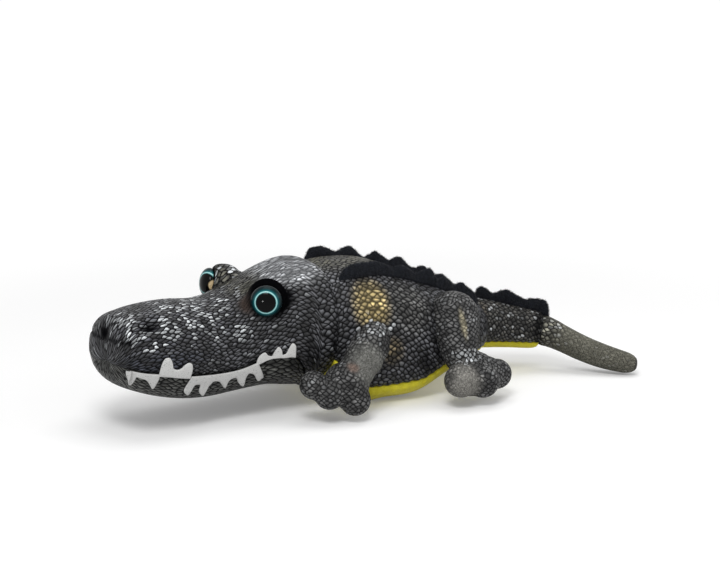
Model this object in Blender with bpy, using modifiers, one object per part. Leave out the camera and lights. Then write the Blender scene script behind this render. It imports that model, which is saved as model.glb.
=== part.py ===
"""Plush crocodile, lying on its belly: a stuffed body, head, neck, tail and four legs with paws.

The toy faces -X, its left side is -Y and up is +Z. The origin is on the flat under the belly.
Every soft piece is one closed solid of cover and stuffing. Pieces that bend against each other
meet at a ball and a matching hollow, centred on the joint between them.
"""

from dataclasses import dataclass
from math import acos, cos, pi, radians, sin

import bmesh
import bpy
import numpy as np
from mathutils import Matrix, Vector

# Clearances and cuts
SEAM_GAP = 0.0003
BALL_GAP = 0.0005
FLAT_DEPTH = 0.0005
CUT_OVERRUN = 0.050
MERGE_DISTANCE = 0.00001

# Body
TORSO_LENGTH = 0.124
TORSO_WIDTH = 0.094
TORSO_HEIGHT = 0.088
TORSO_REAR_X = 0.088

# Neck
NECK_RADIUS = 0.033
NECK_LEVEL_SHARE = 0.568
HEAD_TURN = radians(4)

# Head
HEAD_LENGTH = 0.1435
HEAD_WIDTH = 0.080
HEAD_HEIGHT = 0.077
SNOUT_BEND = 0.008
JAW_INSET = 0.0012
BROW_RADIUS = 0.0122
NOSTRIL_RADIUS = 0.0042
NOSTRIL_DEPTH = 0.0018

# Eyes
EYE_RADIUS = 0.0095
EYE_DOME = 0.0062
EYE_WALL = 0.0015
EYE_SINK = 0.0050
LEFT_EYE_TURN = radians(32)
RIGHT_EYE_TURN = radians(57)
EYE_TILT = radians(4)
IRIS_INNER = 0.0066
IRIS_OUTER = 0.0080
IRIS_LIFT = 0.0006
STEM_RADIUS = 0.0020
STEM_LENGTH = 0.0110
WASHER_RADIUS = 0.0060
WASHER_THICKNESS = 0.0012
POCKET_CLEARANCE = 0.0004

# Teeth
TOOTH_THICKNESS = 0.0014
TOOTH_LENGTH = 0.0100

# Crests
CREST_HEIGHT = 0.0085
CREST_THICKNESS = 0.0050
CREST_TWIST = 0.002
CREST_LEAN = radians(14)
TAIL_CREST_HEIGHT = 0.0085
TAIL_CREST_OVERHANG = 0.006
TAIL_CREST_LIFT = 0.0015

# Belly
BELLY_EDGE_RISE = 0.0120

# Tail
TAIL_ROOT_RADIUS = 0.0168
TAIL_ROOT_SINK = 0.005
TAIL_BASE_LENGTH = 0.045
TAIL_CREASE_RADIUS = 0.0095
TAIL_CREASE_SIDE = 0.012
TAIL_CREASE_DROP = 0.008
TAIL_END_RADIUS = 0.0125
TAIL_TIP_LENGTH = 0.048
TAIL_TIP_SIDE = 0.045
TAIL_TIP_RADIUS = 0.0086
TAIL_TIP_HEIGHT = 0.0055
TAIL_EDGE_RISE = 0.0050

# Outlines, as shares of the sizes above
# Torso rows: station, half width, line, rise, drop
TORSO_SECTION_SHARES = (
    (0.015, 0.60, 0.56, 0.240, 0.240),
    (0.050, 0.87, 0.54, 0.440, 0.440),
    (0.150, 0.96, 0.50, 0.486, 0.500),
    (0.300, 1.00, 0.46, 0.506, 0.460),
    (0.470, 0.99, 0.42, 0.460, 0.409),
    (0.630, 0.91, 0.40, 0.390, 0.290),
    (0.780, 0.77, 0.39, 0.310, 0.207),
    (0.890, 0.57, 0.39, 0.225, 0.187),
    (0.965, 0.36, 0.385, 0.150, 0.154),
)
TORSO_FRONT_SHARES = (0.0, 0.56)
TORSO_REAR_SHARES = (1.0, 0.385)

# Head rows: station, half width, line, rise, drop, all measured from the neck's centre
HEAD_SECTION_SHARES = (
    (0.050, 0.70, 0.00, 0.330, 0.330),
    (0.067, 0.93, 0.00, 0.480, 0.440),
    (0.109, 0.99, -0.01, 0.520, 0.465),
    (0.184, 1.00, -0.03, 0.512, 0.450),
    (0.273, 0.95, -0.05, 0.470, 0.410),
    (0.354, 0.87, -0.065, 0.425, 0.402),
    (0.435, 0.82, -0.08, 0.390, 0.400),
    (0.533, 0.81, -0.095, 0.380, 0.395),
    (0.639, 0.83, -0.085, 0.392, 0.392),
    (0.755, 0.83, -0.07, 0.382, 0.362),
    (0.854, 0.78, -0.06, 0.357, 0.310),
    (0.935, 0.67, -0.045, 0.305, 0.248),
    (0.976, 0.48, -0.04, 0.215, 0.165),
)
HEAD_REAR_SHARES = (0.045, 0.0)
HEAD_NOSE_SHARES = (0.994, -0.04)
SNOUT_BEND_START_SHARE = 0.45

# Mouth line from its corner to the nose: station, height from the neck's centre
MOUTH_LINE_SHARES = (
    (0.219, -0.149),
    (0.281, -0.132),
    (0.335, -0.135),
    (0.381, -0.168),
    (0.454, -0.209),
    (0.538, -0.218),
    (0.615, -0.209),
    (0.691, -0.194),
    (0.831, -0.140),
    (0.906, -0.118),
    (0.985, -0.090),
    (1.100, -0.072),
)
JAW_REAR_SHARES = ((0.150, -0.310), (0.080, -0.620))

# Tooth strips: the hem's stretch of the mouth, then edge points of place along and length
UPPER_FRONT_TEETH_SHARES = (
    (0.842, 0.972),
    ((-0.02, 0.12), (0.03, 0.48), (0.15, 0.89), (0.28, 0.58), (0.37, 0.39), (0.53, 0.29),
     (0.69, 0.28), (0.72, 0.58), (0.80, 0.85), (0.90, 0.69), (0.97, 0.33), (1.00, 0.10)),
)
UPPER_REAR_TEETH_SHARES = (
    (0.384, 0.695),
    ((-0.12, 1.20), (-0.09, 1.30), (0.06, 0.54), (0.11, 0.41), (0.14, 0.63), (0.16, 1.18),
     (0.25, 0.76), (0.30, 0.40), (0.37, 0.41), (0.40, 0.53), (0.44, 0.97), (0.50, 0.67),
     (0.55, 0.44), (0.64, 0.38), (0.70, 0.65), (0.78, 1.28), (0.84, 1.01), (0.86, 0.50),
     (0.90, 0.49), (1.02, 1.16), (1.07, 0.98), (1.04, 0.39), (1.01, 0.10)),
)
LOWER_FRONT_TEETH_SHARES = (
    (0.701, 0.840),
    ((-0.06, 0.43), (-0.05, 0.82), (0.01, 0.90), (0.07, 0.90), (0.19, 0.76), (0.33, 0.52),
     (0.49, 0.45), (0.58, 0.53), (0.60, 0.87), (0.65, 1.06), (0.80, 1.05), (0.91, 0.72),
     (1.00, 0.08)),
)
LOWER_REAR_TEETH_SHARES = (
    (0.226, 0.390),
    ((0.00, 0.68), (0.07, 0.81), (0.20, 0.44), (0.26, 0.20), (0.36, 0.16), (0.38, 0.46),
     (0.45, 0.63), (0.54, 0.40), (0.61, 0.12), (0.71, 0.22), (0.79, 0.49), (0.93, 0.45),
     (1.00, 0.18)),
)
TOOTH_HANG_SHARE = 0.35

# Brow and nostril places as shares of the head's length, width and height
BROW_PLACE_SHARES = (0.310, 0.338, 0.292)
LEFT_NOSTRIL_SHARES = (0.843, 0.269, 0.203)
RIGHT_NOSTRIL_SHARES = (0.965, 0.055, 0.155)
NOSTRIL_BACK_SHARE = 0.70

# Crests: the stretch of the torso, how far apart they stand, and their scallops
CREST_START_SHARE = 0.05
CREST_END_SHARE = 0.92
CREST_SPREAD_SHARE = 0.234
CREST_TAIL_SPREAD_SHARE = 0.085
CREST_DRAW_POWER_SHARE = 1.5
CREST_VALLEY_SHARE = 0.58
CREST_WAVE_POWER_SHARE = 0.6
CREST_TAPER_SHARE = 0.08
CREST_TIP_SHARE = 0.35
CREST_THIN_SHARE = 0.75
CREST_FOOT_SHARE = 0.5
TAIL_CREST_START_SHARE = 0.03
CREST_SCALLOPS = 6
TAIL_CREST_SCALLOPS = 3

# Tail base rows: station, radius between root and end, with the line on an even curve
TAIL_BASE_STATION_SHARES = (0.06, 0.22, 0.42, 0.62, 0.80, 0.915)
TAIL_BASE_RADIUS_SHARES = (0.20, 0.25, 0.48, 0.72, 0.90, 0.94)
TAIL_BASE_CLOSE_SHARE = 0.93
TAIL_TIP_STATION_SHARES = (0.04, 0.20, 0.42, 0.66, 0.86, 0.96)
TAIL_TIP_RADIUS_SHARES = (1.08, 1.07, 1.00, 0.95, 0.84, 0.55)
TAIL_DROOP_SHARES = (0.0, 0.27, 0.66, 0.91, 1.03, 1.09)
TAIL_REGION_SHARES = (-0.5, 0.0, 0.4, 0.7, 1.3)
LINE_STEP_SHARE = 0.05

RING_POINTS = 16
LIMB_RING_POINTS = 10
SMOOTH_LEVELS = 1
BALL_SEGMENTS = 24
SMALL_BALL_SEGMENTS = 16
KNOB_STEPS = 4
TOE_SEGMENTS = 10
PALM_SEGMENTS = 14
SMALL_PART_SEGMENTS = 14
DOME_STEPS = 4
CREST_STEPS = 4
CREST_SIDES = 6
TOOTH_ROWS = 3
OUTLINE_POWER_SHARE = 2.3
BELLY_POWER_SHARE = 3.4
ROUND_POWER_SHARES = (2.0, 2.0)


@dataclass(frozen=True)
class Leg:
    """Sizes of one pair of legs: joints, thicknesses and where the paw and its toes lie."""

    name: str
    station_share: float
    level_share: float
    axis_yaw: float
    axis_lift: float
    root_radius: float
    root_sink: float
    root_back: float
    wrist_forward: float
    wrist_out: float
    wrist_down: float
    wrist_radius: float
    palm_radius: float
    palm_forward: float
    palm_out: float
    palm_down: float
    toe_radius: float
    toe_places: tuple


FRONT_TOE_SHARES = ((1.46, -0.07, 0.12), (0.93, 0.25, -0.27), (-0.14, 0.46, -0.60))
HIND_TOE_SHARES = ((-1.38, 0.0, -0.15), (-0.25, 0.70, -0.24), (0.98, 0.62, -0.10))

FRONT_LEG = Leg(
    name="front",
    station_share=0.150,
    level_share=0.545,
    axis_yaw=radians(6),
    axis_lift=radians(2),
    root_radius=0.0155,
    root_sink=0.0055,
    root_back=0.0012,
    wrist_forward=0.013,
    wrist_out=0.0135,
    wrist_down=0.019,
    wrist_radius=0.0105,
    palm_radius=0.0140,
    palm_forward=0.0075,
    palm_out=0.001,
    palm_down=0.0075,
    toe_radius=0.0094,
    toe_places=FRONT_TOE_SHARES,
)

HIND_LEG = Leg(
    name="hind",
    station_share=0.655,
    level_share=0.557,
    axis_yaw=radians(-8),
    axis_lift=radians(-4),
    root_radius=0.0175,
    root_sink=0.0070,
    root_back=0.0040,
    wrist_forward=0.004,
    wrist_out=0.0170,
    wrist_down=0.020,
    wrist_radius=0.0098,
    palm_radius=0.0125,
    palm_forward=-0.006,
    palm_out=0.0035,
    palm_down=0.0108,
    toe_radius=0.0105,
    toe_places=HIND_TOE_SHARES,
)

LEG_ROOT_ROUND_SHARE = 0.97
LEG_WAIST_SHARE = 0.82
LEG_STATION_SHARES = (0.0, 0.33, 0.67, 1.0)
LEG_CLOSE_SHARE = 0.5


def clear_scene() -> None:
    """Remove what the new file holds."""
    for item in list(bpy.data.objects):
        bpy.data.objects.remove(item, do_unlink=True)
    for group in list(bpy.data.collections):
        bpy.data.collections.remove(group)


def new_collection(name: str) -> bpy.types.Collection:
    """Make a collection under the scene."""
    group = bpy.data.collections.new(name)
    bpy.context.scene.collection.children.link(group)
    return group


clear_scene()
PARTS = new_collection("plush_crocodile")
GUIDES = new_collection("cutters_and_guides")


@dataclass(frozen=True)
class Finish:
    """Colour and roughness of one material."""

    colour: tuple
    roughness: float


SCALE_CLOTH = Finish((0.055, 0.055, 0.060), 0.55)
JAW_CLOTH = Finish((0.060, 0.058, 0.045), 0.65)
TAIL_CLOTH = Finish((0.095, 0.092, 0.075), 0.70)
PAW_CLOTH = Finish((0.110, 0.105, 0.095), 0.75)
BELLY_CLOTH = Finish((0.700, 0.610, 0.030), 0.85)
CREST_CLOTH = Finish((0.008, 0.010, 0.016), 0.95)
FELT_WHITE = Finish((0.780, 0.780, 0.770), 0.90)
EYE_BLACK = Finish((0.004, 0.004, 0.005), 0.06)
EYE_TEAL = Finish((0.100, 0.480, 0.520), 0.10)
WASHER_WHITE = Finish((0.750, 0.750, 0.740), 0.40)


def principled(name: str, finish: Finish):
    """Make a material with one Principled shader."""
    material = bpy.data.materials.new(name)
    material.use_nodes = True
    shader = material.node_tree.nodes["Principled BSDF"]
    shader.inputs["Base Color"].default_value = (*finish.colour, 1.0)
    shader.inputs["Roughness"].default_value = finish.roughness
    shader.inputs["Metallic"].default_value = 0.0
    material.diffuse_color = (*finish.colour, 1.0)
    return material


def set_up(item, name: str, finish: Finish):
    """Name a finished part and give it its own material."""
    item.name = name
    item.data.name = name
    item.data.materials.clear()
    item.data.materials.append(principled(name, finish))
    item.data.shade_smooth()
    return item


def as_guide(item):
    """Mark an object as a cutter or guide, which isn't part of the toy."""
    item.hide_render = True
    item.display_type = "WIRE"
    return item


def link_mesh(name: str, mesh, group, parent=None):
    """Put a mesh into the scene as an object."""
    item = bpy.data.objects.new(name, mesh)
    group.objects.link(item)
    if parent is not None:
        item.parent = parent
    return item


def empty_at(name: str, place: Vector, turn: float = 0.0, parent=None):
    """Make an empty on a joint's axis."""
    item = bpy.data.objects.new(name, None)
    PARTS.objects.link(item)
    item.location = place
    item.rotation_euler = (0.0, 0.0, turn)
    item.parent = parent
    return item


def cage_gain(points: int) -> float:
    """How much larger a ring of points is drawn, so that its smoothed curve has the named size."""
    return 6.0 / (4.0 + 2.0 * cos(2.0 * pi / points))


@dataclass
class Section:
    """One cross-section of a soft form, widest at its centre."""

    centre: Vector
    side: Vector
    up: Vector
    half_width: float
    rise: float
    drop: float
    power_shares: tuple = (OUTLINE_POWER_SHARE, OUTLINE_POWER_SHARE)

    def ring(self, points: int) -> list:
        """Points round the section, on an outline between an ellipse and a rounded box."""
        gain = cage_gain(points)
        found = []
        for index in range(points):
            angle = 2.0 * pi * index / points
            across = cos(angle)
            upward = sin(angle)
            power = 2.0 / self.power_shares[0 if upward > 0 else 1]
            wide = self.half_width * gain * abs(across) ** power
            high = (self.rise if upward > 0 else self.drop) * gain * abs(upward) ** power
            place = self.centre + self.side * (wide if across > 0 else -wide)
            place = place + self.up * (high if upward > 0 else -high)
            found.append(place)
        return found


def soft_form(name: str, start: Vector, sections: list, finish: Vector, group, parent=None,
              points: int = RING_POINTS):
    """Loft a cage through the sections, close it at two poles and smooth it."""
    shape = bmesh.new()
    first = shape.verts.new(start)
    rings = [[shape.verts.new(place) for place in section.ring(points)] for section in sections]
    last = shape.verts.new(finish)
    for index in range(points):
        after = (index + 1) % points
        shape.faces.new((first, rings[0][index], rings[0][after]))
        shape.faces.new((last, rings[-1][after], rings[-1][index]))
        for ring, later in zip(rings, rings[1:]):
            shape.faces.new((ring[index], later[index], later[after], ring[after]))
    bmesh.ops.recalc_face_normals(shape, faces=shape.faces)
    mesh = bpy.data.meshes.new(name)
    shape.to_mesh(mesh)
    shape.free()
    item = link_mesh(name, mesh, group, parent)
    smooth = item.modifiers.new("smooth", "SUBSURF")
    smooth.levels = SMOOTH_LEVELS
    smooth.render_levels = SMOOTH_LEVELS
    return item


def ball(name: str, radius: float, place: Vector, group, parent=None,
         segments: int = BALL_SEGMENTS, axis: Vector = None):
    """Make a ball with its poles on an axis, so that it turns freely in a hollow made alike."""
    shape = bmesh.new()
    bmesh.ops.create_uvsphere(shape, u_segments=segments, v_segments=segments // 2, radius=radius)
    if axis is not None:
        turn = axis.to_track_quat("Z", "Y").to_matrix()
        bmesh.ops.rotate(shape, matrix=turn, verts=shape.verts)
    mesh = bpy.data.meshes.new(name)
    shape.to_mesh(mesh)
    shape.free()
    item = link_mesh(name, mesh, group, parent)
    item.location = place
    return item


def disc(name: str, radius: float, thickness: float, group, parent=None,
         segments: int = SMALL_PART_SEGMENTS):
    """Make a flat cylinder that stands on its origin and points along its own +Z."""
    shape = bmesh.new()
    bmesh.ops.create_cone(shape, cap_ends=True, segments=segments, radius1=radius, radius2=radius,
                          depth=thickness)
    bmesh.ops.translate(shape, vec=Vector((0.0, 0.0, thickness / 2.0)), verts=shape.verts)
    mesh = bpy.data.meshes.new(name)
    shape.to_mesh(mesh)
    shape.free()
    return link_mesh(name, mesh, group, parent)


def block(name: str, low: Vector, high: Vector, group, parent=None):
    """Make a box between two corners."""
    shape = bmesh.new()
    bmesh.ops.create_cube(shape, size=1.0)
    bmesh.ops.scale(shape, vec=high - low, verts=shape.verts)
    bmesh.ops.translate(shape, vec=(high + low) / 2.0, verts=shape.verts)
    mesh = bpy.data.meshes.new(name)
    shape.to_mesh(mesh)
    shape.free()
    return link_mesh(name, mesh, group, parent)


def outline_cutter(name: str, outline: list, half_width: float, parent=None):
    """Make a flat outline in X and Z into a plate that is cut across Y."""
    curve = bpy.data.curves.new(name, "CURVE")
    curve.dimensions = "2D"
    curve.fill_mode = "BOTH"
    curve.extrude = half_width
    spline = curve.splines.new("POLY")
    spline.points.add(len(outline) - 1)
    for point, (along, height) in zip(spline.points, outline):
        point.co = (along, height, 0.0, 1.0)
    spline.use_cyclic_u = True
    holder = bpy.data.objects.new(name, curve)
    GUIDES.objects.link(holder)
    bpy.context.view_layer.update()
    reader = bpy.context.evaluated_depsgraph_get()
    mesh = bpy.data.meshes.new_from_object(holder.evaluated_get(reader))
    bpy.data.objects.remove(holder, do_unlink=True)
    shape = bmesh.new()
    shape.from_mesh(mesh)
    bmesh.ops.remove_doubles(shape, verts=shape.verts, dist=MERGE_DISTANCE)
    bmesh.ops.rotate(shape, matrix=Matrix.Rotation(pi / 2.0, 3, "X"), verts=shape.verts)
    bmesh.ops.recalc_face_normals(shape, faces=shape.faces)
    shape.to_mesh(mesh)
    shape.free()
    mesh.name = name
    return as_guide(link_mesh(name, mesh, GUIDES, parent))


def combine(item, other, operation: str) -> None:
    """Cut, join or trim one object with another."""
    step = item.modifiers.new(operation.lower() + "_" + other.name, "BOOLEAN")
    step.operation = operation
    step.object = other
    step.solver = "EXACT"


def cut(item, other) -> None:
    """Cut the other object out of this one."""
    combine(item, other, "DIFFERENCE")


def fuse(item, other) -> None:
    """Join the other object to this one."""
    combine(item, other, "UNION")


def world_points(item) -> np.ndarray:
    """Corners of an object's evaluated mesh in world space."""
    bpy.context.view_layer.update()
    reader = bpy.context.evaluated_depsgraph_get()
    solid = item.evaluated_get(reader)
    mesh = solid.to_mesh()
    flat = np.empty(len(mesh.vertices) * 3)
    mesh.vertices.foreach_get("co", flat)
    solid.to_mesh_clear()
    place = np.array(item.matrix_world)
    return flat.reshape(-1, 3) @ place[:3, :3].T + place[:3, 3]


# Torso

TORSO_FRONT_X = TORSO_REAR_X - TORSO_LENGTH
NECK_CENTRE = Vector((TORSO_FRONT_X, 0.0, NECK_LEVEL_SHARE * TORSO_HEIGHT))
X_AXIS = Vector((1.0, 0.0, 0.0))
Y_AXIS = Vector((0.0, 1.0, 0.0))
Z_AXIS = Vector((0.0, 0.0, 1.0))


def torso_form(name: str, group, growth: float = 0.0):
    """The whole stuffed torso, or the same form grown all round for cuts."""
    sections = []
    for station, width, line, rise, drop in TORSO_SECTION_SHARES:
        sections.append(Section(
            centre=Vector((TORSO_FRONT_X + station * TORSO_LENGTH, 0.0,
                           line * TORSO_HEIGHT - FLAT_DEPTH)),
            side=Y_AXIS,
            up=Z_AXIS,
            half_width=width * TORSO_WIDTH / 2.0 + growth,
            rise=rise * TORSO_HEIGHT + growth,
            drop=drop * TORSO_HEIGHT + growth,
            power_shares=(OUTLINE_POWER_SHARE, BELLY_POWER_SHARE),
        ))
    front_station, front_line = TORSO_FRONT_SHARES
    rear_station, rear_line = TORSO_REAR_SHARES
    front = Vector((TORSO_FRONT_X + front_station * TORSO_LENGTH - growth, 0.0,
                    front_line * TORSO_HEIGHT))
    rear = Vector((TORSO_FRONT_X + rear_station * TORSO_LENGTH + growth, 0.0,
                   rear_line * TORSO_HEIGHT))
    return soft_form(name, front, sections, rear, group)


def belly_outline(rise: float) -> list:
    """Side view of what lies below the belly seam, which climbs to the neck and to the tail."""
    front = TORSO_FRONT_X - CUT_OVERRUN
    rear = TORSO_REAR_X + CUT_OVERRUN
    low = -CUT_OVERRUN
    points = [(front, low), (rear, low)]
    for station, _, line, _, drop in reversed(TORSO_SECTION_SHARES):
        height = (line - drop) * TORSO_HEIGHT + rise
        points.append((TORSO_FRONT_X + station * TORSO_LENGTH, height))
    points[2] = (rear, points[2][1])
    points[-1] = (front, points[-1][1])
    return points


TORSO_GUIDE = as_guide(torso_form("torso_guide", GUIDES))
TORSO_GROWN = as_guide(torso_form("torso_grown", GUIDES, SEAM_GAP))

FLOOR_BLOCK = as_guide(block(
    "floor_cutter",
    Vector((-HEAD_LENGTH - TORSO_LENGTH, -TORSO_WIDTH, -CUT_OVERRUN)),
    Vector((TORSO_LENGTH + TAIL_BASE_LENGTH + TAIL_TIP_LENGTH, TORSO_WIDTH, 0.0)),
    GUIDES,
))

NECK_SOCKET = as_guide(ball("neck_socket", NECK_RADIUS + BALL_GAP, NECK_CENTRE, GUIDES))
TAIL_ROOT = Vector((TORSO_REAR_X - TAIL_ROOT_SINK, 0.0, TORSO_REAR_SHARES[1] * TORSO_HEIGHT))
TAIL_SOCKET = as_guide(ball("tail_socket", TAIL_ROOT_RADIUS + BALL_GAP, TAIL_ROOT, GUIDES,
                            segments=SMALL_BALL_SEGMENTS))


def make_torso() -> tuple:
    """The upper torso and the belly panel below its seam."""
    torso = torso_form("torso", PARTS)
    set_up(torso, "torso", SCALE_CLOTH)
    belly = torso_form("belly_panel", PARTS)
    set_up(belly, "belly_panel", BELLY_CLOTH)
    below = outline_cutter("belly_region", belly_outline(BELLY_EDGE_RISE), TORSO_WIDTH)
    below_grown = outline_cutter("belly_region_grown", belly_outline(BELLY_EDGE_RISE + SEAM_GAP),
                                 TORSO_WIDTH)
    cut(torso, below_grown)
    combine(belly, below, "INTERSECT")
    cut(belly, FLOOR_BLOCK)
    for piece in (torso, belly):
        cut(piece, NECK_SOCKET)
        cut(piece, TAIL_SOCKET)
    return torso, belly


# Crests

def crest_strip(name: str, foot: list, scallops: int, height: float, lean: float, side: float,
                parent=None):
    """A folded plush strip with a scalloped top, standing on a line of points."""
    steps = scallops * CREST_STEPS
    route = np.array([tuple(point) for point in foot])
    places = np.linspace(0.0, len(route) - 1.0, steps + 1)
    shape = bmesh.new()
    columns = []
    outward = (Z_AXIS * cos(lean) + Y_AXIS * (side * sin(lean)))
    for index, place in enumerate(places):
        share = index / steps
        along = Vector([np.interp(place, range(len(route)), route[:, axis]) for axis in range(3)])
        wave = abs(sin(pi * scallops * share)) ** CREST_WAVE_POWER_SHARE
        fade = min(1.0, min(share, 1.0 - share) / CREST_TAPER_SHARE + CREST_TIP_SHARE)
        top = height * (CREST_VALLEY_SHARE + (1.0 - CREST_VALLEY_SHARE) * wave) * fade
        thick = CREST_THICKNESS * (CREST_THIN_SHARE + (1.0 - CREST_THIN_SHARE) * fade)
        foot_depth = height * CREST_FOOT_SHARE
        across = outward.cross(X_AXIS)
        column = []
        for step in range(CREST_SIDES):
            angle = 2.0 * pi * step / CREST_SIDES + pi / 2.0
            level = (top - foot_depth) / 2.0 + (top + foot_depth) / 2.0 * sin(angle)
            column.append(shape.verts.new(
                along + outward * level + across * (thick / 2.0 * cos(angle))))
        columns.append(column)
    for column, later in zip(columns, columns[1:]):
        for step in range(CREST_SIDES):
            after = (step + 1) % CREST_SIDES
            shape.faces.new((column[step], later[step], later[after], column[after]))
    shape.faces.new(columns[0])
    shape.faces.new(columns[-1])
    bmesh.ops.recalc_face_normals(shape, faces=shape.faces)
    mesh = bpy.data.meshes.new(name)
    shape.to_mesh(mesh)
    shape.free()
    return link_mesh(name, mesh, PARTS, parent)


def make_torso_crests() -> list:
    """One crest along each side of the back, drawing together towards the tail."""
    crests = []
    for name, side in (("crest_left", -1.0), ("crest_right", 1.0)):
        foot = []
        for share in np.linspace(0.0, 1.0, CREST_SCALLOPS * 2 + 1):
            station = CREST_START_SHARE + (CREST_END_SHARE - CREST_START_SHARE) * share
            along = TORSO_FRONT_X + TORSO_LENGTH * station
            drawn = share ** CREST_DRAW_POWER_SHARE
            spread = CREST_SPREAD_SHARE + (CREST_TAIL_SPREAD_SHARE - CREST_SPREAD_SHARE) * drawn
            across = side * spread * TORSO_WIDTH - CREST_TWIST
            hit, place, _, _ = TORSO_GUIDE_READ.ray_cast(
                Vector((along, across, TORSO_HEIGHT + CUT_OVERRUN)), -Z_AXIS)
            foot.append(place if hit else Vector((along, across, TORSO_HEIGHT)))
        crest = crest_strip(name, foot, CREST_SCALLOPS, CREST_HEIGHT, CREST_LEAN, side)
        set_up(crest, name, CREST_CLOTH)
        cut(crest, TORSO_GROWN)
        cut(crest, NECK_SOCKET)
        cut(crest, TAIL_SOCKET)
        crests.append(crest)
    return crests


def evaluated(item):
    """The object as its modifiers leave it, for measuring."""
    bpy.context.view_layer.update()
    return item.evaluated_get(bpy.context.evaluated_depsgraph_get())


TORSO_GUIDE_READ = evaluated(TORSO_GUIDE)


# Head

NECK_TURN = empty_at("neck_turn", NECK_CENTRE, pi + HEAD_TURN)
HEAD_NOD = empty_at("head_nod", Vector((0.0, 0.0, 0.0)), parent=NECK_TURN)


def snout_middle(station: float) -> Vector:
    """Middle of the head at a station, where the snout bends a little to its left."""
    share = max(station - SNOUT_BEND_START_SHARE, 0.0) / (1.0 - SNOUT_BEND_START_SHARE)
    return Vector((station * HEAD_LENGTH, SNOUT_BEND * share * share, 0.0))


def snout_line(station: float) -> tuple:
    """Middle of the head at a station, with the way to its left."""
    ahead = snout_middle(station + LINE_STEP_SHARE) - snout_middle(station - LINE_STEP_SHARE)
    return snout_middle(station), Z_AXIS.cross(ahead).normalized()


def head_form(name: str, group, growth: float = 0.0):
    """The whole stuffed head in its own frame: +X forward, +Y to its left."""
    sections = []
    for station, width, line, rise, drop in HEAD_SECTION_SHARES:
        centre, side = snout_line(station)
        centre.z = line * HEAD_HEIGHT
        sections.append(Section(
            centre=centre,
            side=side,
            up=Z_AXIS,
            half_width=width * HEAD_WIDTH / 2.0 + growth,
            rise=rise * HEAD_HEIGHT + growth,
            drop=drop * HEAD_HEIGHT + growth,
        ))
    rear_station, rear_line = HEAD_REAR_SHARES
    nose_station, nose_line = HEAD_NOSE_SHARES
    rear = Vector((rear_station * HEAD_LENGTH - growth, 0.0, rear_line * HEAD_HEIGHT))
    nose = snout_middle(nose_station)
    nose.x = nose.x + growth
    nose.z = nose_line * HEAD_HEIGHT
    return soft_form(name, rear, sections, nose, group, HEAD_NOD)


def jaw_outline(gap: float) -> list:
    """Side view of the lower jaw: the mouth line, then down and back along the throat."""
    line = [(station * HEAD_LENGTH, height * HEAD_HEIGHT + gap)
            for station, height in MOUTH_LINE_SHARES]
    throat = [(station * HEAD_LENGTH - gap, height * HEAD_HEIGHT)
              for station, height in JAW_REAR_SHARES]
    ahead = (line[-1][0], -HEAD_HEIGHT)
    behind = (throat[-1][0], -HEAD_HEIGHT)
    return [*line, ahead, behind, *reversed(throat)]


def eye_axis(side: float) -> Vector:
    """Where an eye looks, in the head's frame."""
    turn = LEFT_EYE_TURN if side > 0 else RIGHT_EYE_TURN
    return Vector((
        sin(turn) * cos(EYE_TILT),
        side * cos(turn) * cos(EYE_TILT),
        sin(EYE_TILT),
    ))


def brow_centre(side: float) -> Vector:
    """Centre of the round brow that carries an eye."""
    forward, spread, rise = BROW_PLACE_SHARES
    return Vector((forward * HEAD_LENGTH, side * spread * HEAD_WIDTH, rise * HEAD_HEIGHT))


def facing(item, axis: Vector, place: Vector) -> None:
    """Turn an object's +Z along an axis and put it at a place under its parent."""
    item.rotation_euler = axis.to_track_quat("Z", "Y").to_euler()
    item.location = place


def eye_seat(side: float) -> Vector:
    """Centre of the flat back of an eye, sunk into its brow."""
    return brow_centre(side) + eye_axis(side) * (BROW_RADIUS - EYE_SINK)


def make_head() -> tuple:
    """The head with its brows, nostrils and eye pockets, and the lower jaw under the mouth seam."""
    head = head_form("head", PARTS)
    set_up(head, "head", SCALE_CLOTH)
    jaw = head_form("lower_jaw", PARTS, -JAW_INSET)
    set_up(jaw, "lower_jaw", JAW_CLOTH)
    region = outline_cutter("jaw_region", jaw_outline(0.0), HEAD_WIDTH, HEAD_NOD)
    region_grown = outline_cutter("jaw_region_grown", jaw_outline(SEAM_GAP), HEAD_WIDTH, HEAD_NOD)
    for side, word in ((1.0, "left"), (-1.0, "right")):
        brow = as_guide(ball("brow_" + word, BROW_RADIUS, brow_centre(side), GUIDES, HEAD_NOD,
                             SMALL_BALL_SEGMENTS))
        fuse(head, brow)
    cut(head, region_grown)
    combine(jaw, region, "INTERSECT")
    for piece in (head, jaw):
        cut(piece, NECK_SOCKET)
    for side, word in ((1.0, "left"), (-1.0, "right")):
        seat = eye_seat(side)
        axis = eye_axis(side)
        recess = as_guide(disc("eye_recess_" + word, EYE_RADIUS + POCKET_CLEARANCE,
                               CUT_OVERRUN, GUIDES, HEAD_NOD))
        facing(recess, axis, seat)
        cut(head, recess)
        bore = as_guide(disc("stem_bore_" + word, STEM_RADIUS + POCKET_CLEARANCE,
                             STEM_LENGTH + CUT_OVERRUN, GUIDES, HEAD_NOD))
        facing(bore, axis, seat - axis * (STEM_LENGTH + POCKET_CLEARANCE))
        cut(head, bore)
        pocket = as_guide(disc("washer_pocket_" + word, WASHER_RADIUS + POCKET_CLEARANCE,
                               WASHER_THICKNESS + 2.0 * POCKET_CLEARANCE, GUIDES, HEAD_NOD))
        facing(pocket, axis, washer_place(side) - axis * POCKET_CLEARANCE)
        cut(head, pocket)
    for side, word in ((1.0, "left"), (-1.0, "right")):
        nostril_at, nostril_normal = nostril_seat(side)
        dent = as_guide(ball("nostril_" + word, NOSTRIL_RADIUS,
                             nostril_at + nostril_normal * (NOSTRIL_RADIUS - NOSTRIL_DEPTH),
                             GUIDES, HEAD_NOD, TOE_SEGMENTS))
        cut(head, dent)
    return head, jaw


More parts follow.
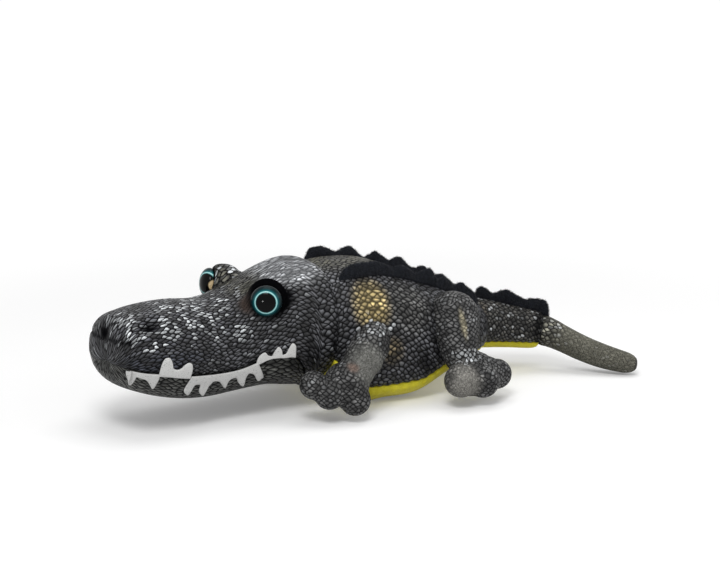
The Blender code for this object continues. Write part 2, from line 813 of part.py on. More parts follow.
def nostril_seat(side: float) -> tuple:
    """Where a nostril lies on the snout, with the way it faces, in the head's frame."""
    forward, spread, rise = LEFT_NOSTRIL_SHARES if side > 0 else RIGHT_NOSTRIL_SHARES
    inside = snout_middle(NOSTRIL_BACK_SHARE)
    middle, left = snout_line(forward)
    aim = middle + left * (side * spread * HEAD_WIDTH) + Z_AXIS * (rise * HEAD_HEIGHT) - inside
    hit, place, normal, _ = HEAD_GUIDE_READ.ray_cast(inside, aim.normalized())
    return (place, normal) if hit else (inside + aim, aim.normalized())


HEAD_GUIDE = as_guide(head_form("head_guide", GUIDES))
HEAD_GUIDE_READ = evaluated(HEAD_GUIDE)


# Eyes

def washer_place(side: float) -> Vector:
    """Outer face centre of the lock washer on the eye's stem, inside the brow."""
    return eye_seat(side) - eye_axis(side) * (STEM_LENGTH - 2.0 * WASHER_THICKNESS)


def turned(name: str, profile: list, group, parent=None, segments: int = SMALL_PART_SEGMENTS):
    """Turn a profile of radius and height about Z with a Screw modifier."""
    shape = bmesh.new()
    corners = [shape.verts.new((radius, 0.0, height)) for radius, height in profile]
    for corner, after in zip(corners, corners[1:]):
        shape.edges.new((corner, after))
    mesh = bpy.data.meshes.new(name)
    shape.to_mesh(mesh)
    shape.free()
    item = link_mesh(name, mesh, group, parent)
    screw = item.modifiers.new("turn", "SCREW")
    screw.steps = segments
    screw.render_steps = segments
    screw.use_merge_vertices = True
    screw.merge_threshold = MERGE_DISTANCE
    return item


def make_eye(side: float, word: str) -> list:
    """A moulded eye with its stem, the teal iris ring set in it and the lock washer inside."""
    axis = eye_axis(side)
    seat = eye_seat(side)
    base = POCKET_CLEARANCE
    dome = []
    for index in range(DOME_STEPS + 1):
        angle = pi / 2.0 * index / DOME_STEPS
        dome.append((EYE_RADIUS * sin(angle), base + EYE_WALL + EYE_DOME * cos(angle)))
    eye = turned("eye_" + word, [
        *dome,
        (EYE_RADIUS, base),
        (STEM_RADIUS, base),
        (STEM_RADIUS, -STEM_LENGTH + base),
        (0.0, -STEM_LENGTH + base),
    ], PARTS, HEAD_NOD)
    set_up(eye, "eye_" + word, EYE_BLACK)
    facing(eye, axis, seat)
    ring_low = dome_height(IRIS_OUTER, base) - IRIS_LIFT * 2.0
    ring_top = dome_height(IRIS_INNER, base) + IRIS_LIFT
    wall_in = IRIS_INNER - SEAM_GAP
    wall_out = IRIS_OUTER + SEAM_GAP
    trough = turned("iris_trough_" + word, [
        (wall_out, ring_top + IRIS_LIFT),
        (wall_out, ring_low - SEAM_GAP),
        (wall_in, ring_low - SEAM_GAP),
        (wall_in, ring_top + IRIS_LIFT),
        (wall_out, ring_top + IRIS_LIFT),
    ], GUIDES, HEAD_NOD)
    facing(as_guide(trough), axis, seat)
    cut(eye, trough)
    iris = turned("iris_" + word, [
        (IRIS_OUTER, dome_height(IRIS_OUTER, base) + IRIS_LIFT / 2.0),
        (IRIS_OUTER, ring_low),
        (IRIS_INNER, ring_low),
        (IRIS_INNER, dome_height(IRIS_INNER, base) + IRIS_LIFT / 2.0),
        (IRIS_OUTER, dome_height(IRIS_OUTER, base) + IRIS_LIFT / 2.0),
    ], PARTS, HEAD_NOD)
    set_up(iris, "iris_" + word, EYE_TEAL)
    facing(iris, axis, seat)
    washer = turned("eye_washer_" + word, [
        (WASHER_RADIUS, WASHER_THICKNESS),
        (WASHER_RADIUS, 0.0),
        (STEM_RADIUS + SEAM_GAP, 0.0),
        (STEM_RADIUS + SEAM_GAP, WASHER_THICKNESS),
        (WASHER_RADIUS, WASHER_THICKNESS),
    ], PARTS, HEAD_NOD)
    set_up(washer, "eye_washer_" + word, WASHER_WHITE)
    facing(washer, axis, washer_place(side))
    return [eye, iris, washer]


def dome_height(radius: float, base: float) -> float:
    """Height of the eye's dome over its seat at a distance from the middle."""
    share = min(radius / EYE_RADIUS, 1.0)
    return base + EYE_WALL + EYE_DOME * (1.0 - share * share) ** 0.5


# Teeth

def mouth_height(station: float) -> float:
    """Height of the mouth line at a share of the head's length."""
    places = [point[0] for point in MOUTH_LINE_SHARES]
    heights = [point[1] for point in MOUTH_LINE_SHARES]
    return float(np.interp(station, places, heights)) * HEAD_HEIGHT


def cheek_reach(along: float, height: float, side: float) -> float:
    """How far out the cheek lies at a place along and a height, in the head's frame."""
    start = Vector((along, side * HEAD_WIDTH, height))
    hit, place, _, _ = HEAD_GUIDE_READ.ray_cast(start, Y_AXIS * -side)
    return abs(place.y) if hit else 0.0


def tooth_strip(name: str, shares: tuple, way: float, side: float):
    """A felt strip of pointed teeth laid on the cheek: hem on the mouth seam, points up or down."""
    (rear, front), edge = shares
    shape = bmesh.new()
    columns = []
    for index, (place, length) in enumerate(edge):
        even = index / (len(edge) - 1.0)
        hem_station = rear + (front - rear) * (min(max(place, 0.0), 1.0) + even) / 2.0
        tip_station = rear + (front - rear) * place
        hem = Vector((hem_station * HEAD_LENGTH, 0.0, mouth_height(hem_station) + way * SEAM_GAP))
        tip = Vector((tip_station * HEAD_LENGTH, 0.0,
                      mouth_height(tip_station) + way * TOOTH_LENGTH * length))
        hem_reach = cheek_reach(hem.x, mouth_height(hem_station), side)
        column = []
        for row in range(TOOTH_ROWS + 1):
            point = hem.lerp(tip, row / TOOTH_ROWS)
            hang = hem_reach - abs(point.z - hem.z) * TOOTH_HANG_SHARE
            point.y = side * (max(cheek_reach(point.x, point.z, side), hang) + SEAM_GAP)
            column.append(shape.verts.new(point))
        columns.append(column)
    for column, later in zip(columns, columns[1:]):
        for row in range(TOOTH_ROWS):
            shape.faces.new((column[row], later[row], later[row + 1], column[row + 1]))
    bmesh.ops.recalc_face_normals(shape, faces=shape.faces)
    shape.faces.ensure_lookup_table()
    if shape.faces[0].normal.y * side < 0:
        bmesh.ops.reverse_faces(shape, faces=shape.faces)
    mesh = bpy.data.meshes.new(name)
    shape.to_mesh(mesh)
    shape.free()
    strip = link_mesh(name, mesh, PARTS, HEAD_NOD)
    thick = strip.modifiers.new("felt", "SOLIDIFY")
    thick.thickness = TOOTH_THICKNESS
    thick.offset = 1.0
    return set_up(strip, name, FELT_WHITE)


def make_teeth() -> list:
    """Four strips on each side of the mouth."""
    strips = []
    for side, word in ((1.0, "left"), (-1.0, "right")):
        for kind, shares, way in (
            ("upper_front", UPPER_FRONT_TEETH_SHARES, -1.0),
            ("upper_rear", UPPER_REAR_TEETH_SHARES, -1.0),
            ("lower_front", LOWER_FRONT_TEETH_SHARES, 1.0),
            ("lower_rear", LOWER_REAR_TEETH_SHARES, 1.0),
        ):
            strips.append(tooth_strip("teeth_" + kind + "_" + word, shares, way, side))
    return strips


# Legs

def leg_axis(leg: Leg, side: float) -> Vector:
    """The way a leg's hinge points, out of the torso's side."""
    return Vector((
        -sin(leg.axis_yaw) * cos(leg.axis_lift),
        side * cos(leg.axis_yaw) * cos(leg.axis_lift),
        sin(leg.axis_lift),
    ))


def leg_points(leg: Leg, side: float) -> tuple:
    """Centres of the leg's root ball, wrist ball and palm."""
    axis = leg_axis(leg, side)
    reach = float(np.max(world_points(TORSO_GUIDE) @ np.array(axis)))
    at = Vector((TORSO_FRONT_X + leg.station_share * TORSO_LENGTH, 0.0,
                 leg.level_share * TORSO_HEIGHT))
    root = at + Y_AXIS * ((reach - leg.root_sink - at.dot(axis)) / axis.y)
    wrist = root + Vector((-leg.wrist_forward, side * leg.wrist_out, -leg.wrist_down))
    palm = wrist + Vector((-leg.palm_forward, side * leg.palm_out, -leg.palm_down))
    return root, wrist, palm, axis


def knob_form(name: str, radius: float, back: float, parent):
    """The round end of a leg: a ball about the hinge, cut flat on its inner side."""
    flat_angle = acos(-back / radius)
    profile = []
    for step in range(KNOB_STEPS + 1):
        angle = flat_angle * step / KNOB_STEPS
        profile.append((radius * sin(angle), radius * cos(angle)))
    profile.append((0.0, -back))
    return turned(name, profile, GUIDES, parent, SMALL_BALL_SEGMENTS)


def make_leg(leg: Leg, side: float, word: str) -> list:
    """An upper leg with a ball at each end, and a paw of a palm and three toes."""
    root, wrist, palm, axis = leg_points(leg, side)
    hinge = empty_at(leg.name + "_leg_swing_" + word, root)
    ankle = empty_at(leg.name + "_paw_bend_" + word, wrist - root, parent=hinge)
    along = (wrist - root).normalized()
    length = (wrist - root).length
    across = along.cross(X_AXIS).normalized()
    upward = across.cross(along)
    sections = []
    root_round = leg.root_radius * LEG_ROOT_ROUND_SHARE
    waist = leg.wrist_radius * LEG_WAIST_SHARE
    for share in LEG_STATION_SHARES:
        radius = root_round + (waist - root_round) * share
        sections.append(Section(
            centre=along * (length * share),
            side=upward,
            up=across,
            half_width=radius,
            rise=radius,
            drop=radius,
            power_shares=ROUND_POWER_SHARES,
        ))
    name = leg.name + "_leg_" + word
    limb = soft_form(name, -along * leg.root_radius * LEG_CLOSE_SHARE, sections,
                     along * (length + leg.wrist_radius * LEG_CLOSE_SHARE), PARTS, hinge, LIMB_RING_POINTS)
    set_up(limb, name, SCALE_CLOTH)
    slab = as_guide(block(
        "slab_" + name,
        Vector((-CUT_OVERRUN, -CUT_OVERRUN, -CUT_OVERRUN)),
        Vector((CUT_OVERRUN, CUT_OVERRUN, leg.root_sink + SEAM_GAP)),
        GUIDES, hinge,
    ))
    facing(slab, axis, Vector((0.0, 0.0, 0.0)))
    cut(limb, slab)
    knob = as_guide(knob_form("root_" + name, leg.root_radius, leg.root_back, hinge))
    facing(knob, axis, Vector((0.0, 0.0, 0.0)))
    fuse(limb, knob)
    fuse(limb, as_guide(ball("wrist_" + name, leg.wrist_radius, wrist - root, GUIDES, hinge,
                             SMALL_BALL_SEGMENTS, axis)))
    socket = as_guide(knob_form("socket_" + name, leg.root_radius + BALL_GAP,
                                leg.root_back + BALL_GAP, hinge))
    facing(socket, axis, Vector((0.0, 0.0, 0.0)))
    paw_name = leg.name + "_paw_" + word
    paw = ball(paw_name, leg.palm_radius, palm - wrist, PARTS, ankle, PALM_SEGMENTS)
    set_up(paw, paw_name, PAW_CLOTH)
    for index, (forward, out, up) in enumerate(leg.toe_places):
        place = palm - wrist + Vector((
            -forward * leg.palm_radius,
            side * out * leg.palm_radius,
            up * leg.palm_radius,
        ))
        toe = as_guide(ball(paw_name + "_toe_" + str(index), leg.toe_radius, place, GUIDES, ankle,
                            TOE_SEGMENTS))
        fuse(paw, toe)
    wrist_socket = as_guide(ball("wrist_socket_" + name, leg.wrist_radius + BALL_GAP,
                                 Vector((0.0, 0.0, 0.0)), GUIDES, ankle, SMALL_BALL_SEGMENTS,
                                 axis))
    cut(paw, wrist_socket)
    cut(paw, FLOOR_BLOCK)
    return [limb, paw, socket]


# Tail

CREASE = TAIL_ROOT + Vector((TAIL_BASE_LENGTH, -TAIL_CREASE_SIDE, -TAIL_CREASE_DROP))


def round_section(centre: Vector, along: Vector, radius: float) -> Section:
    """A round section square to the way the tail runs."""
    side = Z_AXIS.cross(along).normalized()
    return Section(centre=centre, side=side, up=along.cross(side), half_width=radius,
                   rise=radius, drop=radius, power_shares=ROUND_POWER_SHARES)


def base_line(share: float) -> Vector:
    """The tail base's middle line, which curves to the left."""
    point = TAIL_ROOT.lerp(CREASE, share)
    point.y = -TAIL_CREASE_SIDE * share * share
    return point


def base_radius(taper: float) -> float:
    """The tail base's radius at a share of the way from its root's to its end's."""
    return TAIL_ROOT_RADIUS + (TAIL_END_RADIUS - TAIL_ROOT_RADIUS) * taper


def tail_base_form(name: str, group, growth: float = 0.0):
    """The stuffed tail base between its root ball and the crease."""
    sections = []
    for station, taper in zip(TAIL_BASE_STATION_SHARES, TAIL_BASE_RADIUS_SHARES):
        ahead = base_line(station + LINE_STEP_SHARE) - base_line(station - LINE_STEP_SHARE)
        radius = base_radius(taper) + growth
        sections.append(round_section(base_line(station), ahead.normalized(), radius))
    return soft_form(name, TAIL_ROOT, sections, base_line(TAIL_BASE_CLOSE_SHARE), group,
                     None, LIMB_RING_POINTS)


def tail_region(name: str, gap: float):
    """What lies below the seam of the tail's underside."""
    outline = []
    for share in TAIL_REGION_SHARES:
        inner = min(max(share, 0.0), 1.0)
        along = TAIL_ROOT.x + TAIL_BASE_LENGTH * share
        outline.append((along, base_line(inner).z - base_radius(inner) + TAIL_EDGE_RISE + gap))
    outline.append((outline[-1][0], -CUT_OVERRUN))
    outline.append((outline[0][0], -CUT_OVERRUN))
    return outline_cutter(name, outline, TORSO_WIDTH)


def tail_bend_axis() -> Vector:
    """The crease's hinge axis, level and square to the tip, with lifting as its positive turn."""
    return Vector((-TAIL_TIP_SIDE, -TAIL_TIP_LENGTH, 0.0)).normalized()


def make_tail() -> list:
    """Tail base, its underside panel, its crest and the tip beyond the crease."""
    swing = empty_at("tail_swing", TAIL_ROOT)
    bend = empty_at("tail_tip_bend", CREASE - TAIL_ROOT, parent=swing)
    across = tail_bend_axis()
    crease_socket = as_guide(ball("crease_socket", TAIL_CREASE_RADIUS + BALL_GAP, CREASE, GUIDES,
                                  segments=SMALL_BALL_SEGMENTS, axis=across))
    root_ball = as_guide(ball("tail_root_ball", TAIL_ROOT_RADIUS, TAIL_ROOT, GUIDES,
                              segments=SMALL_BALL_SEGMENTS))
    base = tail_base_form("tail_base", PARTS)
    set_up(base, "tail_base", SCALE_CLOTH)
    panel = tail_base_form("tail_panel", PARTS)
    set_up(panel, "tail_panel", BELLY_CLOTH)
    fuse(base, root_ball)
    fuse(panel, root_ball)
    cut(base, tail_region("tail_region_grown", SEAM_GAP))
    combine(panel, tail_region("tail_region", 0.0), "INTERSECT")
    for piece in (base, panel):
        cut(piece, crease_socket)
        keep_place(piece, swing)
    grown = as_guide(tail_base_form("tail_base_grown", GUIDES, SEAM_GAP))
    foot = []
    for share in np.linspace(TAIL_CREST_START_SHARE, 1.0, TAIL_CREST_SCALLOPS * 2 + 1):
        foot.append(base_line(share) + Z_AXIS * base_radius(share))
    foot[-1].x = foot[-1].x + TAIL_CREST_OVERHANG
    foot[-1].z = foot[-1].z + TAIL_CREST_LIFT
    crest = crest_strip("crest_tail", foot, TAIL_CREST_SCALLOPS, TAIL_CREST_HEIGHT, 0.0, 1.0)
    set_up(crest, "crest_tail", CREST_CLOTH)
    cut(crest, grown)
    cut(crest, TAIL_SOCKET)
    cut(crest, crease_socket)
    keep_place(crest, swing)
    tip_end = Vector((CREASE.x + TAIL_TIP_LENGTH, CREASE.y - TAIL_TIP_SIDE, TAIL_TIP_HEIGHT))
    line = []
    for station, droop in zip(TAIL_TIP_STATION_SHARES, TAIL_DROOP_SHARES):
        point = CREASE.lerp(tip_end, station)
        point.z = CREASE.z + (TAIL_TIP_RADIUS - CREASE.z) * droop
        line.append(point)
    sections = []
    for index, (point, taper) in enumerate(zip(line, TAIL_TIP_RADIUS_SHARES)):
        before = line[max(index - 1, 0)]
        after = line[min(index + 1, len(line) - 1)]
        sections.append(round_section(point, (after - before).normalized(),
                                      TAIL_TIP_RADIUS * taper))
    tip = soft_form("tail_tip", CREASE, sections, tip_end, PARTS, None, LIMB_RING_POINTS)
    set_up(tip, "tail_tip", TAIL_CLOTH)
    fuse(tip, as_guide(ball("crease_ball", TAIL_CREASE_RADIUS, CREASE, GUIDES,
                            segments=SMALL_BALL_SEGMENTS, axis=across)))
    cut(tip, FLOOR_BLOCK)
    keep_place(tip, bend)
    return [base, panel, crest, tip]


def keep_place(item, parent) -> None:
    """Hang a part on an empty without moving it."""
    bpy.context.view_layer.update()
    item.parent = parent
    item.matrix_parent_inverse = parent.matrix_world.inverted()


def make_neck():
    """The stuffed neck ball that the head and the torso both close on."""
    neck = ball("neck", NECK_RADIUS, Vector((0.0, 0.0, 0.0)), PARTS, NECK_TURN)
    return set_up(neck, "neck", SCALE_CLOTH)


def main() -> None:
    """Build the toy."""
    torso, belly = make_torso()
    make_torso_crests()
    make_neck()
    make_head()
    for side, word in ((1.0, "left"), (-1.0, "right")):
        make_eye(side, word)
    make_teeth()
    for leg in (FRONT_LEG, HIND_LEG):
        for side, word in ((-1.0, "left"), (1.0, "right")):
            _, _, socket = make_leg(leg, side, word)
            cut(torso, socket)
            cut(belly, socket)
    make_tail()
    bpy.context.view_layer.update()
    for item in PARTS.objects:
        if item.type == "EMPTY":
            place = item.matrix_world.translation
            print("joint", item.name, [round(value, 5) for value in place])
    for leg in (FRONT_LEG, HIND_LEG):
        print("leg axis", leg.name, [round(value, 5) for value in leg_axis(leg, -1.0)])


main()
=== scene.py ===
"""Looks of the plush crocodile: printed skins, crests, felt teeth, eyes, studio and camera.

Every soft piece is a closed skin drawn as whole arrays of points, in metres, in the frame's own
space: the toy faces -X, its left side is -Y and up is +Z.
"""

import logging
from dataclasses import dataclass, field
from enum import Enum
from math import cos, pi, radians, sin
from typing import Callable, Union

import bmesh
import bpy
import numpy as np
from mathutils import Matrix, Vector


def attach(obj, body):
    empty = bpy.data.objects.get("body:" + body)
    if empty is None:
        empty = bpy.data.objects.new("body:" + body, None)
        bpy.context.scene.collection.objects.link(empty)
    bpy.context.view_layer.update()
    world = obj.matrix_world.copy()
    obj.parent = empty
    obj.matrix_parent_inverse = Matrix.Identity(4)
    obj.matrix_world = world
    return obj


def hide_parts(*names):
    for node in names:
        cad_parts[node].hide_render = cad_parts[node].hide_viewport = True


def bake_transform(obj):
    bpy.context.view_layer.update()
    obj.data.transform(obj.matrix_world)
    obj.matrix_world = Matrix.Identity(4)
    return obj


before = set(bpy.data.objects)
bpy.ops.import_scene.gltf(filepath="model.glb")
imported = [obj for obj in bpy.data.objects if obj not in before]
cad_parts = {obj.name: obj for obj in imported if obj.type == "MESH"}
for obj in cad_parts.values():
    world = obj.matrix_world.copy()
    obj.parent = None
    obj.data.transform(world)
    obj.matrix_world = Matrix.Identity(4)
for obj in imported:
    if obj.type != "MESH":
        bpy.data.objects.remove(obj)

logging.basicConfig(level=logging.INFO, format="%(message)s")
LOG = logging.getLogger("crocodile")

Socket = bpy.types.NodeSocket
Value = Union[bpy.types.NodeSocket, float, tuple]

# Sizes shared with the solids, in metres
TORSO_LENGTH = 0.124
TORSO_WIDTH = 0.094
TORSO_HEIGHT = 0.088
TORSO_FRONT_X = -0.036
FLAT_DEPTH = 0.0005
BELLY_RISE = 0.0120
NECK = np.array([-0.036, 0.0, 0.04998])
HEAD_TURN = radians(4)
HEAD_LENGTH = 0.1435
HEAD_WIDTH = 0.080
HEAD_HEIGHT = 0.077
SNOUT_BEND = 0.008
BEND_START = 0.45
JAW_INSET = 0.0012
BROW_RADIUS = 0.0122
EYE_RADIUS = 0.0095
EYE_DOME = 0.0062
EYE_SINK = 0.0050
EYE_WALL = 0.0015
LEFT_EYE_TURN = radians(32)
RIGHT_EYE_TURN = radians(70)
EYE_TILT = radians(4)
TAIL_ROOT = np.array([0.083, 0.0, 0.03388])
CREASE = np.array([0.128, -0.012, 0.02588])
TAIL_END = np.array([0.176, -0.057, 0.0055])
TAIL_ROOT_RADIUS = 0.0168
TAIL_END_RADIUS = 0.0125
TAIL_TIP_RADIUS = 0.0086
STEP = 0.0013

# Torso rows: x share, half width, line, rise and drop, as shares of its sizes
TORSO_ROWS = (
    (-0.020, 0.000, 0.56, 0.000, 0.000),
    (-0.012, 0.420, 0.56, 0.210, 0.180),
    (0.000, 0.800, 0.56, 0.415, 0.340),
    (0.035, 0.880, 0.545, 0.432, 0.420),
    (0.080, 0.920, 0.53, 0.455, 0.462),
    (0.150, 0.960, 0.50, 0.486, 0.500),
    (0.300, 1.000, 0.46, 0.506, 0.460),
    (0.470, 0.990, 0.42, 0.460, 0.407),
    (0.630, 0.910, 0.40, 0.390, 0.286),
    (0.780, 0.770, 0.39, 0.310, 0.202),
    (0.890, 0.570, 0.39, 0.225, 0.182),
    (0.965, 0.360, 0.385, 0.150, 0.150),
    (0.992, 0.160, 0.385, 0.070, 0.075),
    (1.000, 0.000, 0.385, 0.000, 0.000),
)

# Head rows: station ahead of the neck's centre, half width, line, rise and drop
HEAD_ROWS = (
    (0.018, 0.00, 0.00, 0.000, 0.000),
    (0.010, 0.50, 0.00, 0.240, 0.190),
    (-0.002, 0.93, 0.00, 0.462, 0.385),
    (0.020, 0.975, 0.00, 0.494, 0.440),
    (0.060, 1.00, 0.00, 0.520, 0.480),
    (0.109, 1.00, -0.01, 0.528, 0.490),
    (0.184, 1.00, -0.03, 0.512, 0.455),
    (0.273, 0.95, -0.05, 0.470, 0.410),
    (0.354, 0.87, -0.065, 0.425, 0.402),
    (0.435, 0.82, -0.080, 0.390, 0.400),
    (0.533, 0.81, -0.095, 0.380, 0.395),
    (0.639, 0.83, -0.085, 0.390, 0.390),
    (0.755, 0.83, -0.070, 0.377, 0.357),
    (0.854, 0.78, -0.060, 0.352, 0.302),
    (0.931, 0.67, -0.045, 0.304, 0.243),
    (0.968, 0.47, -0.040, 0.224, 0.168),
    (0.981, 0.00, -0.040, 0.000, 0.000),
)

# The mouth seam and, behind its corner, the lower jaw's rear edge: station, height
MOUTH_ROWS = (
    (0.080, -0.620),
    (0.150, -0.310),
    (0.219, -0.149),
    (0.281, -0.132),
    (0.335, -0.135),
    (0.381, -0.168),
    (0.454, -0.209),
    (0.538, -0.218),
    (0.615, -0.209),
    (0.691, -0.194),
    (0.831, -0.140),
    (0.906, -0.118),
    (0.985, -0.090),
    (1.100, -0.072),
)


def hermite(at: np.ndarray, knots: np.ndarray, values: np.ndarray) -> np.ndarray:
    """Smooth curve through values at uneven knots, each slope a mean of its neighbours'.

    Args:
        at: Places to read.
        knots: Rising places of the values.
        values: One row for each knot.

    Returns:
        One row for each place.
    """
    knots = np.asarray(knots, float)
    values = np.asarray(values, float)
    flat = values.reshape(len(values), -1)
    gaps = np.diff(knots)
    steps = np.diff(flat, axis=0) / gaps[:, None]
    slopes = np.empty_like(flat)
    slopes[0], slopes[-1] = steps[0], steps[-1]
    before, after = gaps[:-1, None], gaps[1:, None]
    slopes[1:-1] = (steps[:-1] * after + steps[1:] * before) / (before + after)
    at = np.asarray(at, float)
    cell = np.clip(np.searchsorted(knots, at, side="right") - 1, 0, len(gaps) - 1)
    gap = gaps[cell]
    share = ((np.clip(at, knots[0], knots[-1]) - knots[cell]) / gap)[..., None]
    gap = gap[..., None]
    low, high = flat[cell], flat[cell + 1]
    a, b = slopes[cell] * gap, slopes[cell + 1] * gap
    found = (
        (2 * share**3 - 3 * share**2 + 1) * low
        + (share**3 - 2 * share**2 + share) * a
        + (-2 * share**3 + 3 * share**2) * high
        + (share**3 - share**2) * b
    )
    return found.reshape(at.shape + values.shape[1:])


def soft_max(a: np.ndarray, b: np.ndarray, reach: float) -> np.ndarray:
    """The larger of two arrays, rounded where they are within reach of each other."""
    near = np.maximum(reach - np.abs(a - b), 0.0) / reach
    return np.maximum(a, b) + near * near * reach / 4.0


def rise_between(values: np.ndarray, low: float, high: float) -> np.ndarray:
    """Smooth step from 0 at low to 1 at high."""
    share = np.clip((values - low) / (high - low), 0.0, 1.0)
    return share * share * (3.0 - 2.0 * share)


def unit(vectors: np.ndarray) -> np.ndarray:
    """Vectors made one long."""
    length = np.linalg.norm(vectors, axis=-1, keepdims=True)
    return vectors / np.maximum(length, 1e-12)


def ripple(points: np.ndarray, size: float, seed: float = 0.0) -> np.ndarray:
    """Uneven waves from -1 to 1: three crossed sine waves whose crests are about size apart.

    Args:
        points: Places to read, (..., 3).
        size: Distance between crests.
        seed: Moves the pattern.

    Returns:
        One number for each place.
    """
    x, y, z = (points[..., axis] * (2.0 * pi / size) for axis in range(3))
    first = np.sin(x + 1.3 * np.sin(0.7 * y + seed) + seed)
    second = np.sin(y * 1.1 + 1.7 * np.sin(0.6 * z + 2.0 * seed) + 2.1 + seed)
    third = np.sin(z * 0.9 + 1.5 * np.sin(0.8 * x + 3.0 * seed) + 4.2)
    return (first + second + third) / 3.0


def running_length(arc: np.ndarray) -> np.ndarray:
    """Length along each row of points, from its first one: (n, m) from (n, m, 3)."""
    reach = np.linalg.norm(np.diff(arc, axis=1), axis=2)
    return np.concatenate((np.zeros((len(arc), 1)), np.cumsum(reach, axis=1)), axis=1)


def with_poles(rings: np.ndarray, middle: np.ndarray) -> np.ndarray:
    """Close a row of rings at both ends.

    Args:
        rings: The rings' points, (n, m, 3).
        middle: A middle point for each ring, (n, 1, 3).

    Returns:
        The rings with one more at each end, drawn to a point, (n + 2, m, 3).
    """
    shape = (1, *rings.shape[1:])
    first, last = (np.broadcast_to(end, shape) for end in (middle[:1], middle[-1:]))
    return np.concatenate((first, rings, last), axis=0)


class Side(Enum):
    """Which way a pair's member lies."""

    LEFT = "left"
    RIGHT = "right"

    @property
    def side(self) -> float:
        """-1 on the left, which is -Y, and 1 on the right."""
        return -1.0 if self is Side.LEFT else 1.0


@dataclass
class Loft:
    """A soft form through cross-sections, each a rounded outline about a middle point.

    Attributes:
        centres: Middle of each section.
        sides: The way each section's width runs.
        ups: The way each section's height runs.
        sizes: Half width, rise and drop of each section.
        powers: How square the upper and the lower half of the outline are; 2 is round.
    """

    centres: np.ndarray
    sides: np.ndarray
    ups: np.ndarray
    sizes: np.ndarray
    powers: tuple = (2.3, 2.3)
    knots: np.ndarray = field(init=False)

    def __post_init__(self) -> None:
        """Work out the places of the sections along the skin."""
        moved = np.linalg.norm(np.diff(self.centres, axis=0), axis=1)
        grown = np.abs(np.diff(self.sizes, axis=0)).mean(axis=1)
        self.knots = np.concatenate(([0.0], np.cumsum(np.hypot(moved, grown))))

    @property
    def length(self) -> float:
        """Length along the skin from pole to pole."""
        return float(self.knots[-1])

    def read(self, at: np.ndarray) -> tuple:
        """Centres, sides, ups and sizes at places along the skin.

        Args:
            at: Places, of any shape.

        Returns:
            Four arrays, one row for each place.
        """
        centre = hermite(at, self.knots, self.centres)
        side = unit(hermite(at, self.knots, self.sides))
        up = unit(hermite(at, self.knots, self.ups))
        size = np.maximum(hermite(at, self.knots, self.sizes), 0.0)
        return centre, side, up, size

    def points(self, at: np.ndarray, angles: np.ndarray) -> np.ndarray:
        """f(u, v): u runs along the form, v is the angle round it, from its right over its top.

        Args:
            at: Places along, (n,).
            angles: Angles at each place, (n, m).

        Returns:
            Points, (n, m, 3).
        """
        centre, side, up, size = self.read(at)
        across, upward = np.cos(angles), np.sin(angles)
        power = np.where(upward > 0, 2.0 / self.powers[0], 2.0 / self.powers[1])
        wide = size[:, :1] * np.sign(across) * np.abs(across) ** power
        tall = np.where(upward > 0, size[:, 1:2], size[:, 2:3])
        high = tall * np.sign(upward) * np.abs(upward) ** power
        return centre[:, None] + side[:, None] * wide[..., None] + up[:, None] * high[..., None]


def head_place(local: np.ndarray) -> np.ndarray:
    """Points of the head's own space, +X forward and +Y to its left, in the frame.

    Args:
        local: Points, (..., 3).

    Returns:
        The same points in the frame.
    """
    turn = pi + HEAD_TURN
    local = np.asarray(local, float)
    x = local[..., 0] * cos(turn) - local[..., 1] * sin(turn)
    y = local[..., 0] * sin(turn) + local[..., 1] * cos(turn)
    return np.stack((x, y, local[..., 2]), axis=-1) + NECK


def head_local(points: np.ndarray) -> np.ndarray:
    """Points of the frame in the head's own space.

    Args:
        points: Points, (..., 3).

    Returns:
        The same points in the head's space.
    """
    turn = -(pi + HEAD_TURN)
    moved = points - NECK
    x = moved[..., 0] * cos(turn) - moved[..., 1] * sin(turn)
    y = moved[..., 0] * sin(turn) + moved[..., 1] * cos(turn)
    return np.stack((x, y, moved[..., 2]), axis=-1)


def head_loft() -> Loft:
    """The head from the neck's fold to the nose, in its own space.

    Returns:
        The form.
    """
    rows = np.array(HEAD_ROWS)
    share = np.maximum(rows[:, 0] - BEND_START, 0.0) / (1.0 - BEND_START)
    centres = np.stack((
        rows[:, 0] * HEAD_LENGTH,
        SNOUT_BEND * share**2,
        rows[:, 2] * HEAD_HEIGHT,
    ), 1)
    slope = 2.0 * SNOUT_BEND * share / (1.0 - BEND_START) / HEAD_LENGTH
    sides = unit(np.stack((-slope, np.ones(len(rows)), np.zeros(len(rows))), 1))
    ups = np.tile((0.0, 0.0, 1.0), (len(rows), 1))
    sizes = rows[:, (1, 3, 4)] * (HEAD_WIDTH / 2.0, HEAD_HEIGHT, HEAD_HEIGHT)
    return Loft(centres, sides, ups, sizes)


def torso_loft() -> Loft:
    """The torso from the neck's fold to the tail's root.

    Returns:
        The form.
    """
    rows = np.array(TORSO_ROWS)
    count = len(rows)
    centres = np.stack((
        TORSO_FRONT_X + rows[:, 0] * TORSO_LENGTH,
        np.zeros(count),
        rows[:, 2] * TORSO_HEIGHT - FLAT_DEPTH,
    ), 1)
    sizes = rows[:, (1, 3, 4)] * (TORSO_WIDTH / 2.0, TORSO_HEIGHT, TORSO_HEIGHT)
    return Loft(centres, np.tile((0.0, 1.0, 0.0), (count, 1)), np.tile((0.0, 0.0, 1.0), (count, 1)),
                sizes, (2.3, 3.4))


class Half(Enum):
    """Which part of a ring a skin covers."""

    UPPER = 1
    LOWER = -1


